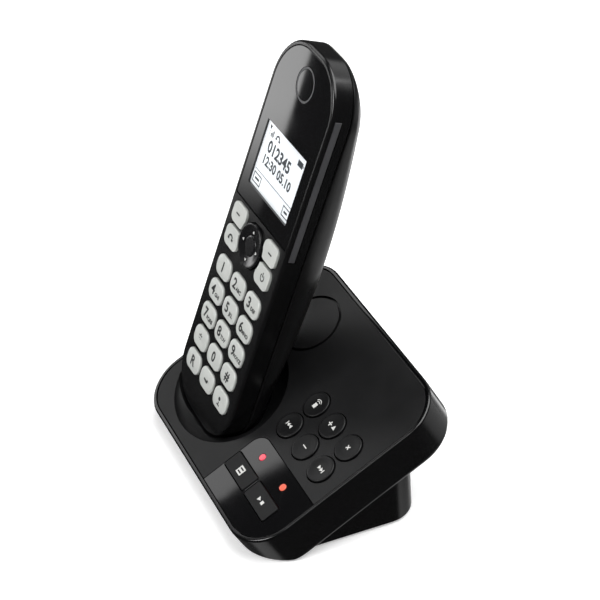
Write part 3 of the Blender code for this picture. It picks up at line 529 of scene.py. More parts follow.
def loft(name, rings):
    """A closed form through rings of equal count, its last face a strip from side to side."""
    shape = bmesh.new()
    loops = [[shape.verts.new(point) for point in ring] for ring in rings]
    count = len(loops[0])
    shape.faces.new(loops[0])
    for upper, lower in zip(loops, loops[1:]):
        for i in range(count):
            shape.faces.new((upper[i - 1], lower[i - 1], lower[i], upper[i]))
    last = loops[-1]
    for i in range(count // 2 - 1):
        shape.faces.new((last[i], last[i + 1], last[-2 - i], last[-1 - i]))
    bmesh.ops.remove_doubles(shape, verts=shape.verts, dist=1e-7)
    bmesh.ops.recalc_face_normals(shape, faces=shape.faces)
    mesh = bpy.data.meshes.new(name)
    shape.to_mesh(mesh)
    shape.free()
    piece = bpy.data.objects.new(name, mesh)
    bpy.context.scene.collection.objects.link(piece)
    return piece


def face_rings(bottom, grow=0.0):
    """Rings over the rounding round the face and down the side."""
    rings = []
    for degrees in (90, 68, 45, 22, 0):
        angle = math.radians(degrees)
        inset = FACE_EDGE * (1 - math.cos(angle))
        rings.append(handset_ring(inset - grow, FACE_EDGE * (math.sin(angle) - 1) + grow))
    rings.append(handset_ring(-grow, bottom))
    return rings


def back_rings(grow=0.0, steps=14):
    rings = []
    for step in range(steps + 1):
        angle = math.radians(4 + 84 * step / steps)
        inset = BACK_ROUND * (1 - math.cos(angle)) - grow
        rings.append(handset_ring(inset, lambda y, a=angle: -PARTING - (back_depth(y) + grow) * math.sin(a)))
    return rings


def envelope(name, grow):
    """The whole handset, grown all round, in the deck's frame."""
    piece = loft(name, face_rings(-PARTING + 0.001, grow) + back_rings(grow, 8))
    piece.data.transform(DECK.inverted() @ HANDSET)
    return piece


# ------------------------------------------------------------------ handset
def key_rows():
    """Name, column, row, character and small letters of the fifteen keys."""
    rows = (
        (("1", "1", ""), ("2", "2", "ABC"), ("3", "3", "DEF")),
        (("4", "4", "GHI"), ("5", "5", "JKL"), ("6", "6", "MNO")),
        (("7", "7", "PQRS"), ("8", "8", "TUV"), ("9", "9", "WXYZ")),
        (("star", "*", ""), ("0", "0", ""), ("hash", "#", "")),
        (("recall", "R", ""), ("redial", "", ""), ("mute", "", "")),
    )
    for row in rows:
        yield from row


def middle_of(node):
    """The middle of a key in the handset's frame."""
    low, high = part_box(node)
    return HANDSET.inverted() @ ((Vector(low) + Vector(high)) / 2)


def make_keys():
    for label, character, letters in key_rows():
        name = f"key_{label}"
        centre = middle_of(name)
        x, y = centre.x, centre.y
        key = slab(
            name + "_cap",
            (x - KEY_WIDTH / 2, x + KEY_WIDTH / 2),
            (y - KEY_HEIGHT / 2, y + KEY_HEIGHT / 2),
            (-KEY_DEPTH, KEY_RISE - 0.00015),
            near=KEY_CORNER,
            top=0.0006,
            steps=8,
        )
        edit(key, "FACE")
        pick(key, "faces", lambda f: f.normal.z > 0.99 and f.calc_center_median().z > 0)
        bpy.ops.mesh.inset(thickness=0.0012, depth=0.00012)
        bpy.ops.mesh.inset(thickness=0.0008, depth=0.00003)
        done()
        paint(key, SILVER)
        marks = []
        if character:
            drop = 0.0006 if character == "*" else 0.0
            shift = -0.0017 if letters else 0.0
            marks.append(lettered(name + "_figure", character, x + shift, y - drop, 0.0056, KEY_RISE, BLACK_INK, 0.00014))
        if letters:
            marks.append(lettered(name + "_letters", letters, x + 0.0022, y - 0.0009, 0.0021, KEY_RISE, BLACK_INK))
        if label == "redial":
            marks.append(printed(name + "_mark", [bar(x - 0.0016, x + 0.0016, y - 0.0003, y + 0.0003), arrow(x + 0.0018, y, 0.0018, (1, 0))], KEY_RISE, BLACK_INK))
        if label == "mute":
            marks.append(printed(name + "_mark", [round_mark(x, y + 0.0005, 0.0008), bar(x - 0.0003, x + 0.0003, y - 0.0018, y - 0.0007), bar(x - 0.0011, x + 0.0011, y - 0.0022, y - 0.0018)], KEY_RISE, BLACK_INK))
        settle(merge([key, *marks], name + "_cap"), HANDSET, name, [name])


def side_key(name, side, y):
    """An oblong key with a hollow that follows the navigator's edge."""
    x = side * SIDE_KEY_X
    half, tall = SIDE_KEY_WIDTH / 2, SIDE_KEY_HEIGHT / 2
    key = slab(name + "_cap", (x - half, x + half), (y - tall, y + tall), (-KEY_DEPTH, KEY_RISE), near=0.0026, steps=6)
    combine(key, drum("round_room", 0, NAV_Y, -0.01, 0.01, NAV_RADIUS + 0.0013, sides=64))
    edit(key)
    pick(key, "edges", lambda e: level(e, KEY_RISE))
    bevel(0.0005, 3)
    done()
    return paint(key, SILVER)


def make_side_keys():
    marks = {
        "key_soft_left": lambda x, y: [bar(x - 0.0014, x + 0.0014, y - 0.0003, y + 0.0003)],
        "key_soft_right": lambda x, y: [bar(x - 0.0014, x + 0.0014, y - 0.0003, y + 0.0003)],
        "key_talk": lambda x, y: receiver(x, y, 0.0036),
        "key_off": lambda x, y: [band(x, y - 0.0001, 0.0013, 0.0005, 125, 290), bar(x - 0.00025, x + 0.00025, y, y + 0.0019)],
    }
    for name, mark in marks.items():
        centre = middle_of(name)
        side = 1 if centre.x > 0 else -1
        key = side_key(name, side, centre.y)
        sign = printed(name + "_mark", mark(side * (SIDE_KEY_X + 0.0006), centre.y), KEY_RISE, BLACK_INK)
        settle(merge([key, sign], name + "_cap"), HANDSET, name, [name])


def make_navigator():
    """A round rocker with a raised lip, a sunk middle and four arrows."""
    pad = drum("navigator_cap", 0, NAV_Y, -KEY_DEPTH, NAV_RISE, NAV_RADIUS, sides=64)
    edit(pad, "FACE")
    pick(pad, "faces", lambda f: f.normal.z > 0.9)
    bpy.ops.mesh.inset(thickness=0.0004, depth=0)
    for thickness, depth in ((0.0010, 0.0), (0.0014, -0.0004), (0.0016, -0.0002), (0.0006, 0.00035)):
        bpy.ops.mesh.inset(thickness=thickness, depth=depth)
    bpy.ops.mesh.select_mode(type="EDGE")
    pick(pad, "edges", lambda e: level(e, NAV_RISE) and abs(math.dist(e.verts[0].co.xy, (0, NAV_Y)) - NAV_RADIUS) < 1e-5)
    bevel(0.00035, 3)
    done()
    paint(pad, NAV_GLOSS)
    reach = NAV_RADIUS - 0.0027
    ways = ((0, 1), (0, -1), (1, 0), (-1, 0))
    arrows = [arrow(reach * dx, NAV_Y + reach * dy, 0.0013, (dx, dy)) for dx, dy in ways]
    signs = printed("navigator_arrows", arrows, NAV_RISE - 0.00028, WHITE_INK)
    settle(merge([pad, signs], "navigator_cap"), HANDSET, "navigator_key", ["navigator_key"])


def case_hollow(name, low, high):
    half = HANDSET_WIDTH / 2 - CASE_WALL
    return slab(
        name,
        (-half, half),
        (CASE_WALL, HANDSET_LENGTH - CASE_WALL),
        (low, high),
        near=CORNER_LOW - CASE_WALL,
        far=CORNER_HIGH - CASE_WALL,
    )


def lens_blank(name, grow, low, high, edge=0.0):
    half = HANDSET_WIDTH / 2 - LENS_EDGE + grow
    top = HANDSET_LENGTH - LENS_EDGE + grow
    return slab(name, (-half, half), (LENS_BOTTOM - grow, top), (low, high), near=0.0008, far=CORNER_HIGH - LENS_EDGE + grow, top=edge, steps=16)


def make_front_case():
    case = loft("front_case_shell", face_rings(-PARTING + GAP / 2)[:-1] + [handset_ring(0, -PARTING + 0.0005), handset_ring(0.0003, -PARTING + GAP / 2)])
    combine(case, case_hollow("front_room", -0.02, -FACE_THICKNESS))
    for label, _, _ in key_rows():
        centre = middle_of(f"key_{label}")
        half, tall = KEY_WIDTH / 2 + KEY_GAP, KEY_HEIGHT / 2 + KEY_GAP
        span = (centre.x - half, centre.x + half), (centre.y - tall, centre.y + tall), (-0.005, 0.01)
        combine(case, slab("key_hole", *span, near=KEY_CORNER + KEY_GAP, steps=8))
    for name in ("key_soft_left", "key_soft_right", "key_talk", "key_off"):
        centre = middle_of(name)
        side = 1 if centre.x > 0 else -1
        x, half, tall = side * SIDE_KEY_X, SIDE_KEY_WIDTH / 2 + KEY_GAP, SIDE_KEY_HEIGHT / 2 + KEY_GAP
        hole = slab("side_hole", (x - half, x + half), (centre.y - tall, centre.y + tall), (-0.005, 0.01), near=0.003, steps=6)
        combine(hole, drum("round_room", 0, NAV_Y, -0.02, 0.02, NAV_RADIUS + 0.0013 - KEY_GAP, sides=64))
        combine(case, hole)
    combine(case, drum("pad_hole", 0, NAV_Y, -0.005, 0.01, NAV_RADIUS + KEY_GAP, sides=64))
    half = SCREEN_WIDTH / 2 + 0.001
    combine(case, slab("screen_hole", (-half, half), (SCREEN_BOTTOM - 0.001, SCREEN_TOP + 0.001), (-0.005, 0.01), near=0.001))
    combine(case, lens_blank("lens_room", GAP / 2, LENS_TOP - LENS_THICKNESS - GAP, 0.01))
    for side in (-1, 1):
        edge = side * HANDSET_WIDTH / 2
        combine(case, slab("grip_room", (edge - 0.0005, edge + 0.0005), (GRIP_LOW, GRIP_HIGH), (GRIP_BACK, GRIP_FRONT)))
    slots(case)
    paint(case, FACE_SATIN)
    settle(case, HANDSET, "handset", ["handset_front_case"])


CONTACTS = {side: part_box(f"handset_charge_contact_{side}") for side in ("left", "right")}


def slots(case):
    """The openings over the two charging contacts in the handset's lower end."""
    for side in CONTACTS:
        centre = middle_of(f"handset_charge_contact_{side}")
        span = (centre.x - 0.0029, centre.x + 0.0029), (-0.01, 0.006), (centre.z - 0.0012, centre.z + 0.0012)
        combine(case, slab("contact_slot", *span))


def make_side_inlays():
    for side, label in ((-1, "left"), (1, "right")):
        edge = side * HANDSET_WIDTH / 2
        x = sorted((edge - side * 0.0005, edge - side * 0.00015))
        strip = slab(f"side_inlay_{label}", x, (GRIP_LOW + 0.0002, GRIP_HIGH - 0.0002), (GRIP_BACK + 0.0002, GRIP_FRONT - 0.0002))
        edit(strip)
        pick(strip, "edges", lambda e, s=side, w=x: all(abs(v.co.x - (w[1] if s > 0 else w[0])) < 1e-6 for v in e.verts))
        bevel(0.00015, 2)
        done()
        # Painted reflection: the strip's grey stands for the bright band that the glossy side reflects here.
        paint(strip, INLAY_GREY_PAINTED_REFLECTION)
        settle(strip, HANDSET, "handset", ())


def make_lens():
    lens = lens_blank("window_black_print", -GAP / 2, LENS_TOP - LENS_THICKNESS, LENS_TOP, edge=0.00018)
    half = SCREEN_WIDTH / 2
    combine(lens, slab("screen_area", (-half, half), (SCREEN_BOTTOM, SCREEN_TOP), (-0.01, 0.01), near=0.0004, steps=4))
    ring = drum("ring_outer", 0, EAR_Y, LENS_TOP - 0.0006, 0.01, EAR_RADIUS + EAR_SLOT / 2, sides=64)
    combine(ring, drum("ring_inner", 0, EAR_Y, -0.01, 0.02, EAR_RADIUS - EAR_SLOT / 2, sides=64))
    combine(lens, ring)
    edit(lens)
    pick(lens, "edges", lambda e: level(e, LENS_TOP) and abs(math.dist(e.verts[0].co.xy, (0, EAR_Y)) - EAR_RADIUS) < 0.0006 and abs(math.dist(e.verts[1].co.xy, (0, EAR_Y)) - EAR_RADIUS) < 0.0006)
    bevel(0.00012, 2)
    done()
    paint(lens, LENS_GLOSS)
    settle(lens, HANDSET, "handset", ["display_window"])


def make_ear_trim():
    """The thin satin ring that sits in the groove round the earpiece."""
    low, high = LENS_TOP - 0.0006, LENS_TOP - 0.0001
    ring = drum("earpiece_trim", 0, EAR_Y, low, high, EAR_RADIUS + EAR_SLOT * 0.42, top=0.00008, sides=64, rounds=2)
    combine(ring, drum("ring_inner", 0, EAR_Y, -0.01, 0.02, EAR_RADIUS - EAR_SLOT * 0.2, sides=64))
    paint(ring, EAR_SATIN)
    settle(ring, HANDSET, "handset", ())


def make_display():
    """The picture behind the window: two lines of figures, a rule and the small signs round them."""
    half, top = SCREEN_WIDTH / 2, LENS_TOP - 0.0008
    field = slab("display_picture", (-half + 0.0001, half - 0.0001), (SCREEN_BOTTOM + 0.0001, SCREEN_TOP - 0.0001), (top - 0.0004, top), near=0.0003, steps=3)
    paint(field, DISPLAY)
    y1, y2 = SCREEN_TOP - 0.0086, SCREEN_TOP - 0.0140
    signs = [lettered("line_1", "012345", -0.0026, y1, 0.0062, top, DISPLAY_DARK, 0.00018)]
    signs.append(lettered("line_2", "12:30 05.10", -0.0012, y2, 0.0050, top, DISPLAY_DARK, 0.00014))
    mast_x, mast_y = -half + 0.0026, SCREEN_TOP - 0.0032
    shapes = [arrow(mast_x, mast_y + 0.0010, 0.0018, (0, -1)), bar(mast_x - 0.0001, mast_x + 0.0001, mast_y - 0.0018, mast_y)]
    shapes += [bar(mast_x + 0.0012 + i * 0.0008, mast_x + 0.0017 + i * 0.0008, mast_y - 0.0018, mast_y - 0.0006 + i * 0.0007) for i in range(3)]
    shapes += receiver(mast_x + 0.0068, mast_y, 0.0032)
    cell_x, cell_y = half - 0.0040, SCREEN_TOP - 0.0034
    shapes += [bar(cell_x - 0.0022, cell_x + 0.0016, cell_y - 0.0011, cell_y + 0.0011), bar(cell_x + 0.0018, cell_x + 0.0022, cell_y - 0.0005, cell_y + 0.0005)]
    rule = SCREEN_BOTTOM + 0.0062
    shapes.append(bar(-half + 0.0008, half - 0.0008, rule - 0.00012, rule + 0.00012))
    for x0, x1 in ((-half + 0.0010, -half + 0.0072), (half - 0.0064, half - 0.0010)):
        low, high = SCREEN_BOTTOM + 0.0012, SCREEN_BOTTOM + 0.0050
        shapes += [bar(x0, x1, low, high), bar(x0 + 0.0004, x1 - 0.0004, low + 0.0004, high - 0.0004)]
        shapes.append(bar(x0 + 0.0014, x1 - 0.0014, (low + high) / 2 - 0.0004, (low + high) / 2 + 0.0004))
    signs.append(printed("signs", shapes, top, DISPLAY_DARK))
    settle(merge([field, *signs], "display_picture"), HANDSET, "handset", ())


def door_prism(name, gap):
    half = DOOR_WIDTH / 2 - gap
    made = slab(name, (-half, half), (DOOR_LOW + gap, DOOR_HIGH - gap), (-0.040, -0.0145), near=0.003, steps=6)
    deepest = -PARTING - 0.017
    for vertex in made.data.vertices:
        vertex.co.y += (vertex.co.z - deepest) / math.tan(DOOR_ANGLE)
    return made


def back_blank(name):
    """The back case as a solid, with a small rounding at the seam."""
    seam = -PARTING - GAP / 2
    return loft(name, [handset_ring(0.0003, seam), handset_ring(0, seam - 0.0003)] + back_rings())


def make_back_case():
    case = back_blank("back_case_shell")
    inner = loft("back_room", [handset_ring(CASE_WALL, -PARTING + 0.004)] + back_rings(-CASE_WALL, 8))
    combine(case, inner)
    combine(case, door_prism("door_room", 0.0))
    for i in range(5):
        tall = (0.0042, 0.0058, 0.0062, 0.0058, 0.0042)[i]
        x = (i - 2) * 0.0030
        combine(case, slab("ringer_slot", (x - 0.0005, x + 0.0005), (0.1270 - tall, 0.1270 + tall), (-0.05, -0.012), near=0.00049, steps=4))
    paint(case, BACK_SATIN)
    settle(case, HANDSET, "handset", ["handset_back_case"])

    door = back_blank("battery_door")
    combine(door, loft("door_inner", [handset_ring(CASE_WALL, -PARTING + 0.004)] + back_rings(-CASE_WALL, 8)))
    combine(door, door_prism("door_area", GAP), "INTERSECT")
    for i in range(4):
        y = DOOR_HIGH - 0.012 - i * 0.0022
        rib = slab("thumb_groove", (-0.0070, 0.0070), (y - 0.0005, y + 0.0005), (-0.05, -PARTING - back_depth(y) + 0.0004), near=0.00049, steps=3)
        combine(door, rib)
    paint(door, BACK_SATIN)
    settle(door, HANDSET, "battery_cover", ["battery_cover"])


# ------------------------------------------------------------------ base
def deck_blank(name, inset, low, high, top=0.0, bottom=0.0, steps=14, rounds=4):
    half = DECK_WIDTH / 2 - inset
    corner = DECK_CORNER - inset
    return slab(name, (-half, half), (inset, DECK_LENGTH - inset), (low, high), near=corner, top=top, bottom=bottom, steps=steps, rounds=rounds)


def trim_at_table(piece):
    """Cuts off what would stand below the base's underside, in the deck's frame."""
    to_deck = DECK.inverted()
    edit(piece)
    bpy.ops.mesh.select_all(action="SELECT")
    up = to_deck.to_3x3() @ Vector((0, 0, 1))
    bpy.ops.mesh.bisect(
        plane_co=to_deck @ Vector((0, 0, TUB_FLOOR)), plane_no=up, use_fill=True, clear_inner=True
    )
    done()


def make_housing():
    """The glossy frame round the deck: rounded outside, with a narrow polished lip."""
    housing = deck_blank("housing_frame", 0, -DECK_THICKNESS, 0, top=0.0009, bottom=0.0022, rounds=6)
    trim_at_table(housing)
    combine(housing, deck_blank("housing_room", RIM, -DECK_THICKNESS - 0.01, 0.01))
    edit(housing)
    half = DECK_WIDTH / 2 - RIM
    pick(housing, "edges", lambda e: level(e, 0) and max(abs(v.co.x) for v in e.verts) < half + 1e-5 and all(RIM - 1e-5 < v.co.y < DECK_LENGTH - RIM + 1e-5 for v in e.verts))
    bevel(0.0003, 2)
    done()
    paint(housing, HOUSING_GLOSS)
    settle(housing, DECK, "base", ["base_housing"])


def make_tub():
    """The lower cabinet with the wedge that it stands on, rounded along the floor."""
    tub = deck_blank("lower_cabinet", INSET, -DECK_THICKNESS, TUB_TOP, bottom=0.0022)
    trim_at_table(tub)
    rear = DECK.translation.y + STAND_REAR
    wedge = slab("wedge", (-STAND_HALF, STAND_HALF), (DECK.translation.y + STAND_FRONT, rear), (TUB_FLOOR, 0.045), near=STAND_CORNER, bottom=0.0008, steps=12, rounds=3)
    for vertex in wedge.data.vertices:
        vertex.co.x *= 1 - STAND_DRAFT * max(vertex.co.z - TUB_FLOOR, 0) / STAND_HALF
        vertex.co.y -= STAND_DRAFT * max(vertex.co.z - TUB_FLOOR, 0) * (vertex.co.y > 0)
    wedge.data.transform(DECK.inverted())
    under = deck_blank("under_deck", INSET, -0.2, -DECK_THICKNESS + 0.0007)
    combine(wedge, under, "INTERSECT")
    combine(tub, wedge, "UNION")
    jacks = []
    for node in ("phone_line_jack", "power_jack"):
        low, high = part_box(node)
        jacks.append(sized("jack_room", (low[0] - GAP, high[0] + GAP), (low[1] - GAP, high[1] + 0.01), (low[2] - GAP, high[2] + GAP)))
    for side in ("left", "right"):
        low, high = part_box(f"base_screw_{side}")
        jacks.append(drum("screw_sink", (low[0] + high[0]) / 2, (low[1] + high[1]) / 2, -0.01, 0.0052, 0.0031, sides=32))
    for cutter in jacks:
        cutter.data.transform(DECK.inverted())
        combine(tub, cutter)
    paint(tub, TUB_SATIN)
    settle(tub, DECK, "base", ["base_tub"])


def bowl(name, grow, segments=72, rings=36):
    """The shallow oval bowl round the handset's foot."""
    deselect()
    bpy.ops.mesh.primitive_uv_sphere_add(segments=segments, ring_count=rings, radius=1, location=(DISH_X, DISH_V, COVER_TOP + DISH_RAISE))
    piece = bpy.context.object
    piece.name = name
    piece.scale = (DISH_HALF_X + grow, DISH_HALF_V + grow, DISH_DEPTH + DISH_RAISE + grow)
    bpy.ops.object.transform_apply(location=True, rotation=True, scale=True)
    return piece


BUTTONS = ("skip_back", "volume_down", "skip_forward", "locator", "volume_up", "erase")


def deck_middle(node):
    low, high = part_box(node)
    return DECK.inverted() @ ((Vector(low) + Vector(high)) / 2)


def panel_blank(name, grow, low, high, top=0.0):
    """The panel's own corner of the deck, with its inner corner rounded."""
    piece = sized(name, (PANEL_X - grow, 0.1), (-0.1, PANEL_V + grow), (low, high))
    edit(piece)
    pick(piece, "edges", lambda e: upright(e) and e.verts[0].co.x < 0.05 and e.verts[0].co.y > 0)
    bevel(PANEL_CORNER + grow, 12)
    done()
    return piece


def make_cover():
    low = COVER_TOP - COVER_THICKNESS
    cover = deck_blank("deck_cover", INSET, low, COVER_TOP, top=0.0002, rounds=2)
    shells = [bowl("bowl_shell", DISH_WALL, 48, 24), envelope("well_shell", WELL_CLEARANCE + WELL_WALL)]
    for shell in shells:
        combine(shell, sized("above_deck", (-0.3, 0.3), (-0.3, 0.3), (low / 2, 0.3)))
        combine(cover, shell, "UNION")
    combine(cover, bowl("bowl", 0.0))
    combine(cover, envelope("well", WELL_CLEARANCE))
    for name in BUTTONS:
        centre = deck_middle(f"button_{name}")
        combine(cover, drum("button_hole", centre.x, centre.y, -0.01, 0.01, BUTTON_RADIUS + KEY_GAP, sides=48))
    combine(cover, panel_blank("panel_room", GAP / 2, -0.01, 0.01))
    ring = drum("ring_outer", SPEAKER_X, SPEAKER_V, COVER_TOP - 0.0011, 0.01, SPEAKER_RING + RING_GROOVE / 2, sides=96)
    combine(ring, drum("ring_inner", SPEAKER_X, SPEAKER_V, -0.02, 0.02, SPEAKER_RING - RING_GROOVE / 2, sides=96))
    combine(cover, ring)
    for side in ("left", "right"):
        centre = HANDSET.inverted() @ Vector([(a + b) / 2 for a, b in zip(*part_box(f"base_charge_contact_{side}"))])
        slot_ = slab("contact_slot", (centre.x - 0.0014, centre.x + 0.0014), (-0.008, 0.001), (centre.z - 0.0012, centre.z + 0.0012))
        slot_.data.transform(DECK.inverted() @ HANDSET)
        combine(cover, slot_)
    paint(cover, DECK_MATTE)
    settle(cover, DECK, "base", ["base_cover"], smooth=30)


def make_panel():
    low = COVER_TOP - COVER_THICKNESS
    panel = deck_blank("gloss_panel", INSET, low, COVER_TOP)
    combine(panel, panel_blank("panel_area", -GAP / 2, -0.01, 0.01), "INTERSECT")
    for node in ("key_answer_on", "key_play_stop"):
        centre = deck_middle(node)
        half, tall = TOUCH_WIDTH / 2 + KEY_GAP, TOUCH_HEIGHT / 2 + KEY_GAP
        combine(panel, slab("touch_hole", (centre.x - half, centre.x + half), (centre.y - tall, centre.y + tall), (-0.01, 0.01), near=0.0012, steps=5))
        combine(panel, drum("lamp_hole", centre.x + 0.001, LAMP_V, -0.01, 0.01, LAMP_RADIUS + GAP / 2, sides=32))
    edit(panel)
    pick(panel, "edges", lambda e: level(e, COVER_TOP))
    bevel(0.00012, 2)
    done()
    paint(panel, PANEL_GLOSS)
    settle(panel, DECK, "base", ["control_panel"])


def make_lamps():
    for node, label, material in (("key_answer_on", "answer", LAMP_RED), ("key_play_stop", "message", LAMP_ORANGE)):
        centre = deck_middle(node)
        lamp = drum(f"lamp_lens_{label}", centre.x + 0.001, LAMP_V, COVER_TOP - 0.0005, COVER_TOP + 0.0001, LAMP_RADIUS, top=0.0002, sides=32)
        paint(lamp, material)
        settle(lamp, DECK, "base", ())


def button_signs(name, x, y):
    if name == "skip_back":
        return [bar(x - 0.0019, x - 0.0015, y - 0.0008, y + 0.0008), arrow(x - 0.0007, y, 0.0016, (-1, 0)), arrow(x + 0.0008, y, 0.0016, (-1, 0))]
    if name == "skip_forward":
        return [bar(x + 0.0015, x + 0.0019, y - 0.0008, y + 0.0008), arrow(x + 0.0007, y, 0.0016, (1, 0)), arrow(x - 0.0008, y, 0.0016, (1, 0))]
    if name == "volume_down":
        return [bar(x - 0.0012, x + 0.0012, y - 0.0002, y + 0.0002)]
    if name == "volume_up":
        plus = [(-2, -9), (2, -9), (2, -2), (9, -2), (9, 2), (2, 2), (2, 9), (-2, 9), (-2, 2), (-9, 2), (-9, -2), (-2, -2)]
        return [[(x - 0.0012 + px * 0.00011, y + py * 0.00011) for px, py in plus], arrow(x + 0.0014, y + 0.0001, 0.0019, (0, 1))]
    if name == "erase":
        cross = [(-2, -9), (2, -9), (2, -2), (9, -2), (9, 2), (2, 2), (2, 9), (-2, 9), (-2, 2), (-9, 2), (-9, -2), (-2, -2)]
        c = math.sqrt(0.5)
        return [[(x + (px - py) * c * 0.00011, y + (px + py) * c * 0.00011) for px, py in cross]]
    return [bar(x - 0.0008, x + 0.0008, y - 0.0016, y + 0.0004), *[band(x, y + 0.0004, r, 0.0003, 35, 110, 8) for r in (0.0010, 0.0017)]]


def make_buttons():
    for name in BUTTONS:
        node = f"button_{name}"
        centre = deck_middle(node)
        top = COVER_TOP + BUTTON_RISE
        cap = drum(node + "_cap", centre.x, centre.y, COVER_TOP - BUTTON_DEPTH, top, BUTTON_RADIUS, top=0.0004, sides=56)
        edit(cap, "FACE")
        pick(cap, "faces", lambda f: f.normal.z > 0.99)
        bpy.ops.mesh.inset(thickness=0.0006, depth=-0.00005)
        bpy.ops.mesh.inset(thickness=0.0012, depth=-0.00018)
        bpy.ops.mesh.inset(thickness=0.0012, depth=-0.00007)
        done()
        paint(cap, BUTTON_MATTE)
        signs = printed(node + "_sign", button_signs(name, centre.x, centre.y), top - 0.0003, WHITE_INK)
        settle(merge([cap, signs], node + "_cap"), DECK, node, [node])


def make_touch_keys():
    for node in ("key_answer_on", "key_play_stop"):
        centre = deck_middle(node)
        x, y = centre.x, centre.y
        top = COVER_TOP + 0.0004
        far = 0.0008
        cap = slab(node + "_cap", (x - TOUCH_WIDTH / 2, x + TOUCH_WIDTH / 2), (y - TOUCH_HEIGHT / 2, y + TOUCH_HEIGHT / 2), (COVER_TOP - BUTTON_DEPTH, top), near=far, top=0.0003, steps=5)
        paint(cap, TOUCH_MATTE)
        if node == "key_answer_on":
            outlines = [bar(x - 0.0016, x + 0.0016, y - 0.0016, y + 0.0016), bar(x - 0.0011, x + 0.0011, y + 0.0004, y + 0.0010), bar(x - 0.0011, x + 0.0011, y - 0.0010, y - 0.0004)]
        else:
            outlines = [arrow(x - 0.0010, y, 0.0018, (1, 0)), bar(x + 0.0006, x + 0.0020, y - 0.0007, y + 0.0007)]
        signs = printed(node + "_sign", outlines, top, WHITE_INK)
        settle(merge([cap, signs], node + "_cap"), DECK, node, [node])


def make_feet():
    for row in ("front", "rear"):
        for side in ("left", "right"):
            node = f"foot_{row}_{side}"
            low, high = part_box(node)
            foot = drum(node + "_pad", (low[0] + high[0]) / 2, (low[1] + high[1]) / 2, low[2], high[2], (high[0] - low[0]) / 2, bottom=0.0002, sides=40)
            paint(foot, RUBBER)
            settle(foot, ROW, "base", [node])


def make_line_contacts():
    """Six sprung wires in the line socket, each rising towards the back of the socket."""
    low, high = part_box("phone_line_jack")
    middle = (low[0] + high[0]) / 2
    wires = []
    for i in range(6):
        x = middle + (i - 2.5) * 0.00102
        wire = sized("wire", (x - 0.00016, x + 0.00016), (low[1] + 0.0024, high[1] - 0.0030), (high[2] - 0.0024, high[2] - 0.0021))
        edit(wire, "FACE")
        pick(wire, "faces", lambda f: f.normal.y > 0.9)
        bpy.ops.mesh.extrude_region_move(TRANSFORM_OT_translate={"value": (0, 0.0012, -0.0016)})
        done()
        wires.append(paint(wire, GOLD))
    settle(merge(wires, "line_socket_wires"), ROW, "base", ())


PLAIN = {
    "base_circuit_board": BOARD,
    "handset_circuit_board": BOARD,
    "base_speaker": SPEAKER_STEEL,
    "earpiece_speaker": SPEAKER_STEEL,
    "phone_line_jack": NYLON,
    "power_jack": NYLON,
    "lamp_guide": LAMP_RED,
    "lcd_module": NYLON,
    "key_mat": RUBBER,
    "navigator_pivot": RUBBER,
    "battery_left": SLEEVE,
    "battery_right": SLEEVE,
    "battery_spring_plate": NICKEL,
    "base_screw_left": NICKEL,
    "base_screw_right": NICKEL,
    "base_charge_contact_left": NICKEL,
    "base_charge_contact_right": NICKEL,
    "handset_charge_contact_left": NICKEL,
    "handset_charge_contact_right": NICKEL,
}


def dress_inner_nodes():
    for node, material in PLAIN.items():
        frame["nodes"][node].data.materials.clear()
        frame["nodes"][node].data.materials.append(material)


# ------------------------------------------------------------------ stage
AZIMUTH, ELEVATION, ROLL = math.radians(65.87), math.radians(35.57), math.radians(-0.29)
TARGET, DISTANCE = Vector((-0.00415, 0.00379, 0.06744)), 0.6801
LENS, SENSOR = 115.08, 36


def towards(azimuth, elevation):
    """The direction from the object to something that stands at an azimuth and elevation."""
    flat = math.cos(elevation)
    return Vector((math.sin(azimuth) * flat, -math.cos(azimuth) * flat, math.sin(elevation)))


def make_camera():
    data = bpy.data.cameras.new("camera")
    data.lens = LENS
    data.sensor_width = SENSOR
    camera = bpy.data.objects.new("camera", data)
    bpy.context.scene.collection.objects.link(camera)
    back = towards(AZIMUTH, ELEVATION)
    camera.location = TARGET + back * DISTANCE
    camera.rotation_mode = "QUATERNION"
    camera.rotation_quaternion = (-back).to_track_quat("-Z", "Y") @ Quaternion((0, 0, 1), ROLL)
    bpy.context.scene.camera = camera
    bpy.context.scene.view_settings.view_transform = "Standard"
    return camera


def softbox(name, place, aim, width, height, power, spread=180):
    data = bpy.data.lights.new(name, "AREA")
    data.shape = "RECTANGLE"
    data.size, data.size_y = width, height
    data.energy = power
    data.spread = math.radians(spread)
    lamp = bpy.data.objects.new(name, data)
    bpy.context.scene.collection.objects.link(lamp)
    lamp.location = place
    lamp.rotation_mode = "QUATERNION"
    lamp.rotation_quaternion = (Vector(aim) - Vector(place)).to_track_quat("-Z", "Y")
    lamp.visible_camera = False
    return lamp


def make_stage():
    deselect()
    bpy.ops.mesh.primitive_plane_add(size=8, location=(0, 0, 0))
    floor = bpy.context.object
    floor.name = "floor"
    made, tree, shader, place = blank("matt white paper", roughness=0.9)
    fibres = add(tree, "TexNoise", {"Scale": 1 / (2 * MM), "Detail": 4.0}, {"Vector": place})
    tint = add(
        tree, "Mix", {"A": linear("#f4f4f4"), "B": linear("#fbfbfb")}, {"Factor": fibres.outputs["Fac"]}, data_type="RGBA"
    )
    tree.links.new(tint.outputs["Result"], shader.inputs["Base Color"])
    tree.links.new(tint.outputs["Result"], shader.inputs["Emission Color"])
    shader.inputs["Emission Strength"].default_value = 0.45
    paint(floor, made)
    floor.visible_glossy = False

    make_room()
    softbox("overhead", (0.25, 0.35, 1.35), (0, 0, 0), 1.3, 1.3, 24)
    softbox("key", (-0.15, -1.25, 0.75), (0, 0, 0.08), 0.5, 0.5, 7)


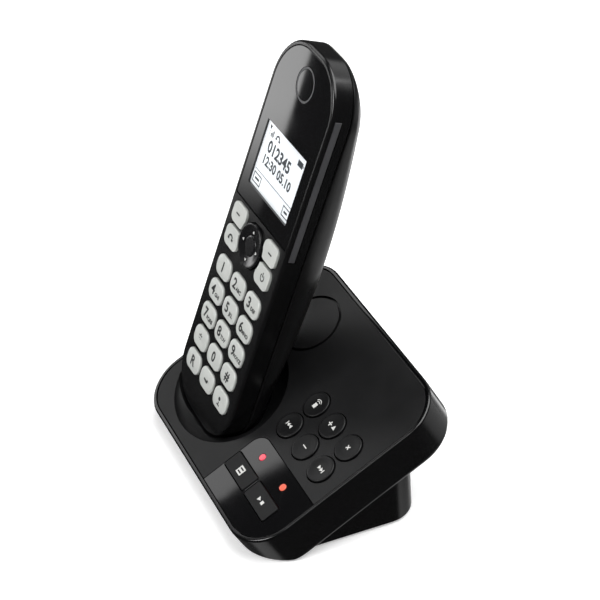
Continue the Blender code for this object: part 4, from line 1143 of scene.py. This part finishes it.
def card(tree, way, azimuth, elevation, wide, tall, blur, strength, turn=0):
    """One soft-edged bright rectangle in the room's surroundings, as a brightness to be added."""
    out = towards(math.radians(azimuth), math.radians(elevation))
    side = Vector((0, 0, 1)).cross(out).normalized()
    side.rotate(Quaternion(out, math.radians(turn)))
    up = out.cross(side)
    depth = add(tree, "VectorMath", {1: out}, {0: way}, operation="DOT_PRODUCT").outputs["Value"]
    front = add(tree, "Math", {1: 0.05}, {0: depth}, operation="MAXIMUM").outputs[0]
    result = add(tree, "Math", {1: 0.06}, {0: depth}, operation="GREATER_THAN").outputs[0]
    for axis, half, soft in ((side, wide, blur[0]), (up, tall, blur[1])):
        along = add(tree, "VectorMath", {1: axis}, {0: way}, operation="DOT_PRODUCT").outputs["Value"]
        slope = add(tree, "Math", None, {0: along, 1: front}, operation="DIVIDE").outputs[0]
        size = add(tree, "Math", None, {0: slope}, operation="ABSOLUTE").outputs[0]
        limit = math.tan(math.radians(half))
        span = {"From Min": limit, "From Max": max(limit - math.tan(math.radians(soft)), 0), "To Min": 0, "To Max": 1}
        edge = add(tree, "MapRange", span, {"Value": size}, interpolation_type="SMOOTHSTEP").outputs["Result"]
        result = add(tree, "Math", None, {0: result, 1: edge}, operation="MULTIPLY").outputs[0]
    return add(tree, "Math", {1: strength}, {0: result}, operation="MULTIPLY").outputs[0]


def make_room():
    """White paper to the eye, and round it a dim room with a few soft cards, which the gloss shows."""
    world = bpy.data.worlds.new("studio")
    bpy.context.scene.world = world
    world.use_nodes = True
    tree = world.node_tree
    tree.nodes.clear()
    way = add(tree, "TexCoord").outputs["Generated"]
    total = add(tree, "Value").outputs[0]
    total.default_value = 0.06
    for settings in CARDS:
        bright = card(tree, way, *settings)
        total = add(tree, "Math", None, {0: total, 1: bright}, operation="ADD").outputs[0]
    ray = add(tree, "LightPath")
    pale = add(tree, "Background", {"Color": linear("#ffffff"), "Strength": 1.0})
    dim = add(tree, "Background", {"Color": linear("#ffffff")}, {"Strength": total})
    mix = add(tree, "MixShader", None, {0: ray.outputs["Is Camera Ray"], 1: dim.outputs[0], 2: pale.outputs[0]})
    add(tree, "OutputWorld", None, {"Surface": mix.outputs[0]})


# Azimuth, elevation, half width, half height, softness of the sides and of the ends, strength and turn, in degrees
CARDS = (
    (-67, 30.8, 8.0, 22, (0.15, 5), 2.1, 43),  # left, seen in the panel
    (-62, -5, 6.64, 11, (0.12, 4), 3.2, 16),  # low left, seen in the handset's face
    (28, 60, 14, 6, (5, 3), 3.0, 0),  # high in front, seen along the rim
    (174, -14, 28, 14, (12, 8), 0.45, 0),  # behind, seen in the base's round corners
    (196, 34, 34, 12, (10, 8), 1.1, 0),  # high behind, seen round the handset's top
    (-27, 54, 9, 4, (4, 3), 4.0, 0),  # high on the left, seen along the rim's inner edge
    (208, -30, 12, 9, (5, 4), 2.2, 0),  # behind on the left, seen in the wedge's corner
    (10, -72, 18, 10, (8, 6), 0.55, 0),  # below in front, seen under the front corner
    (190, -52, 42, 20, (14, 14), 0.5, 0),  # the table behind, seen in the handset's back
)


def main():
    make_camera()
    make_stage()
    make_keys()
    make_side_keys()
    make_navigator()
    make_front_case()
    make_side_inlays()
    make_lens()
    make_ear_trim()
    make_display()
    make_back_case()
    make_housing()
    make_tub()
    make_cover()
    make_panel()
    make_lamps()
    make_buttons()
    make_touch_keys()
    make_feet()
    make_line_contacts()
    dress_inner_nodes()


main()
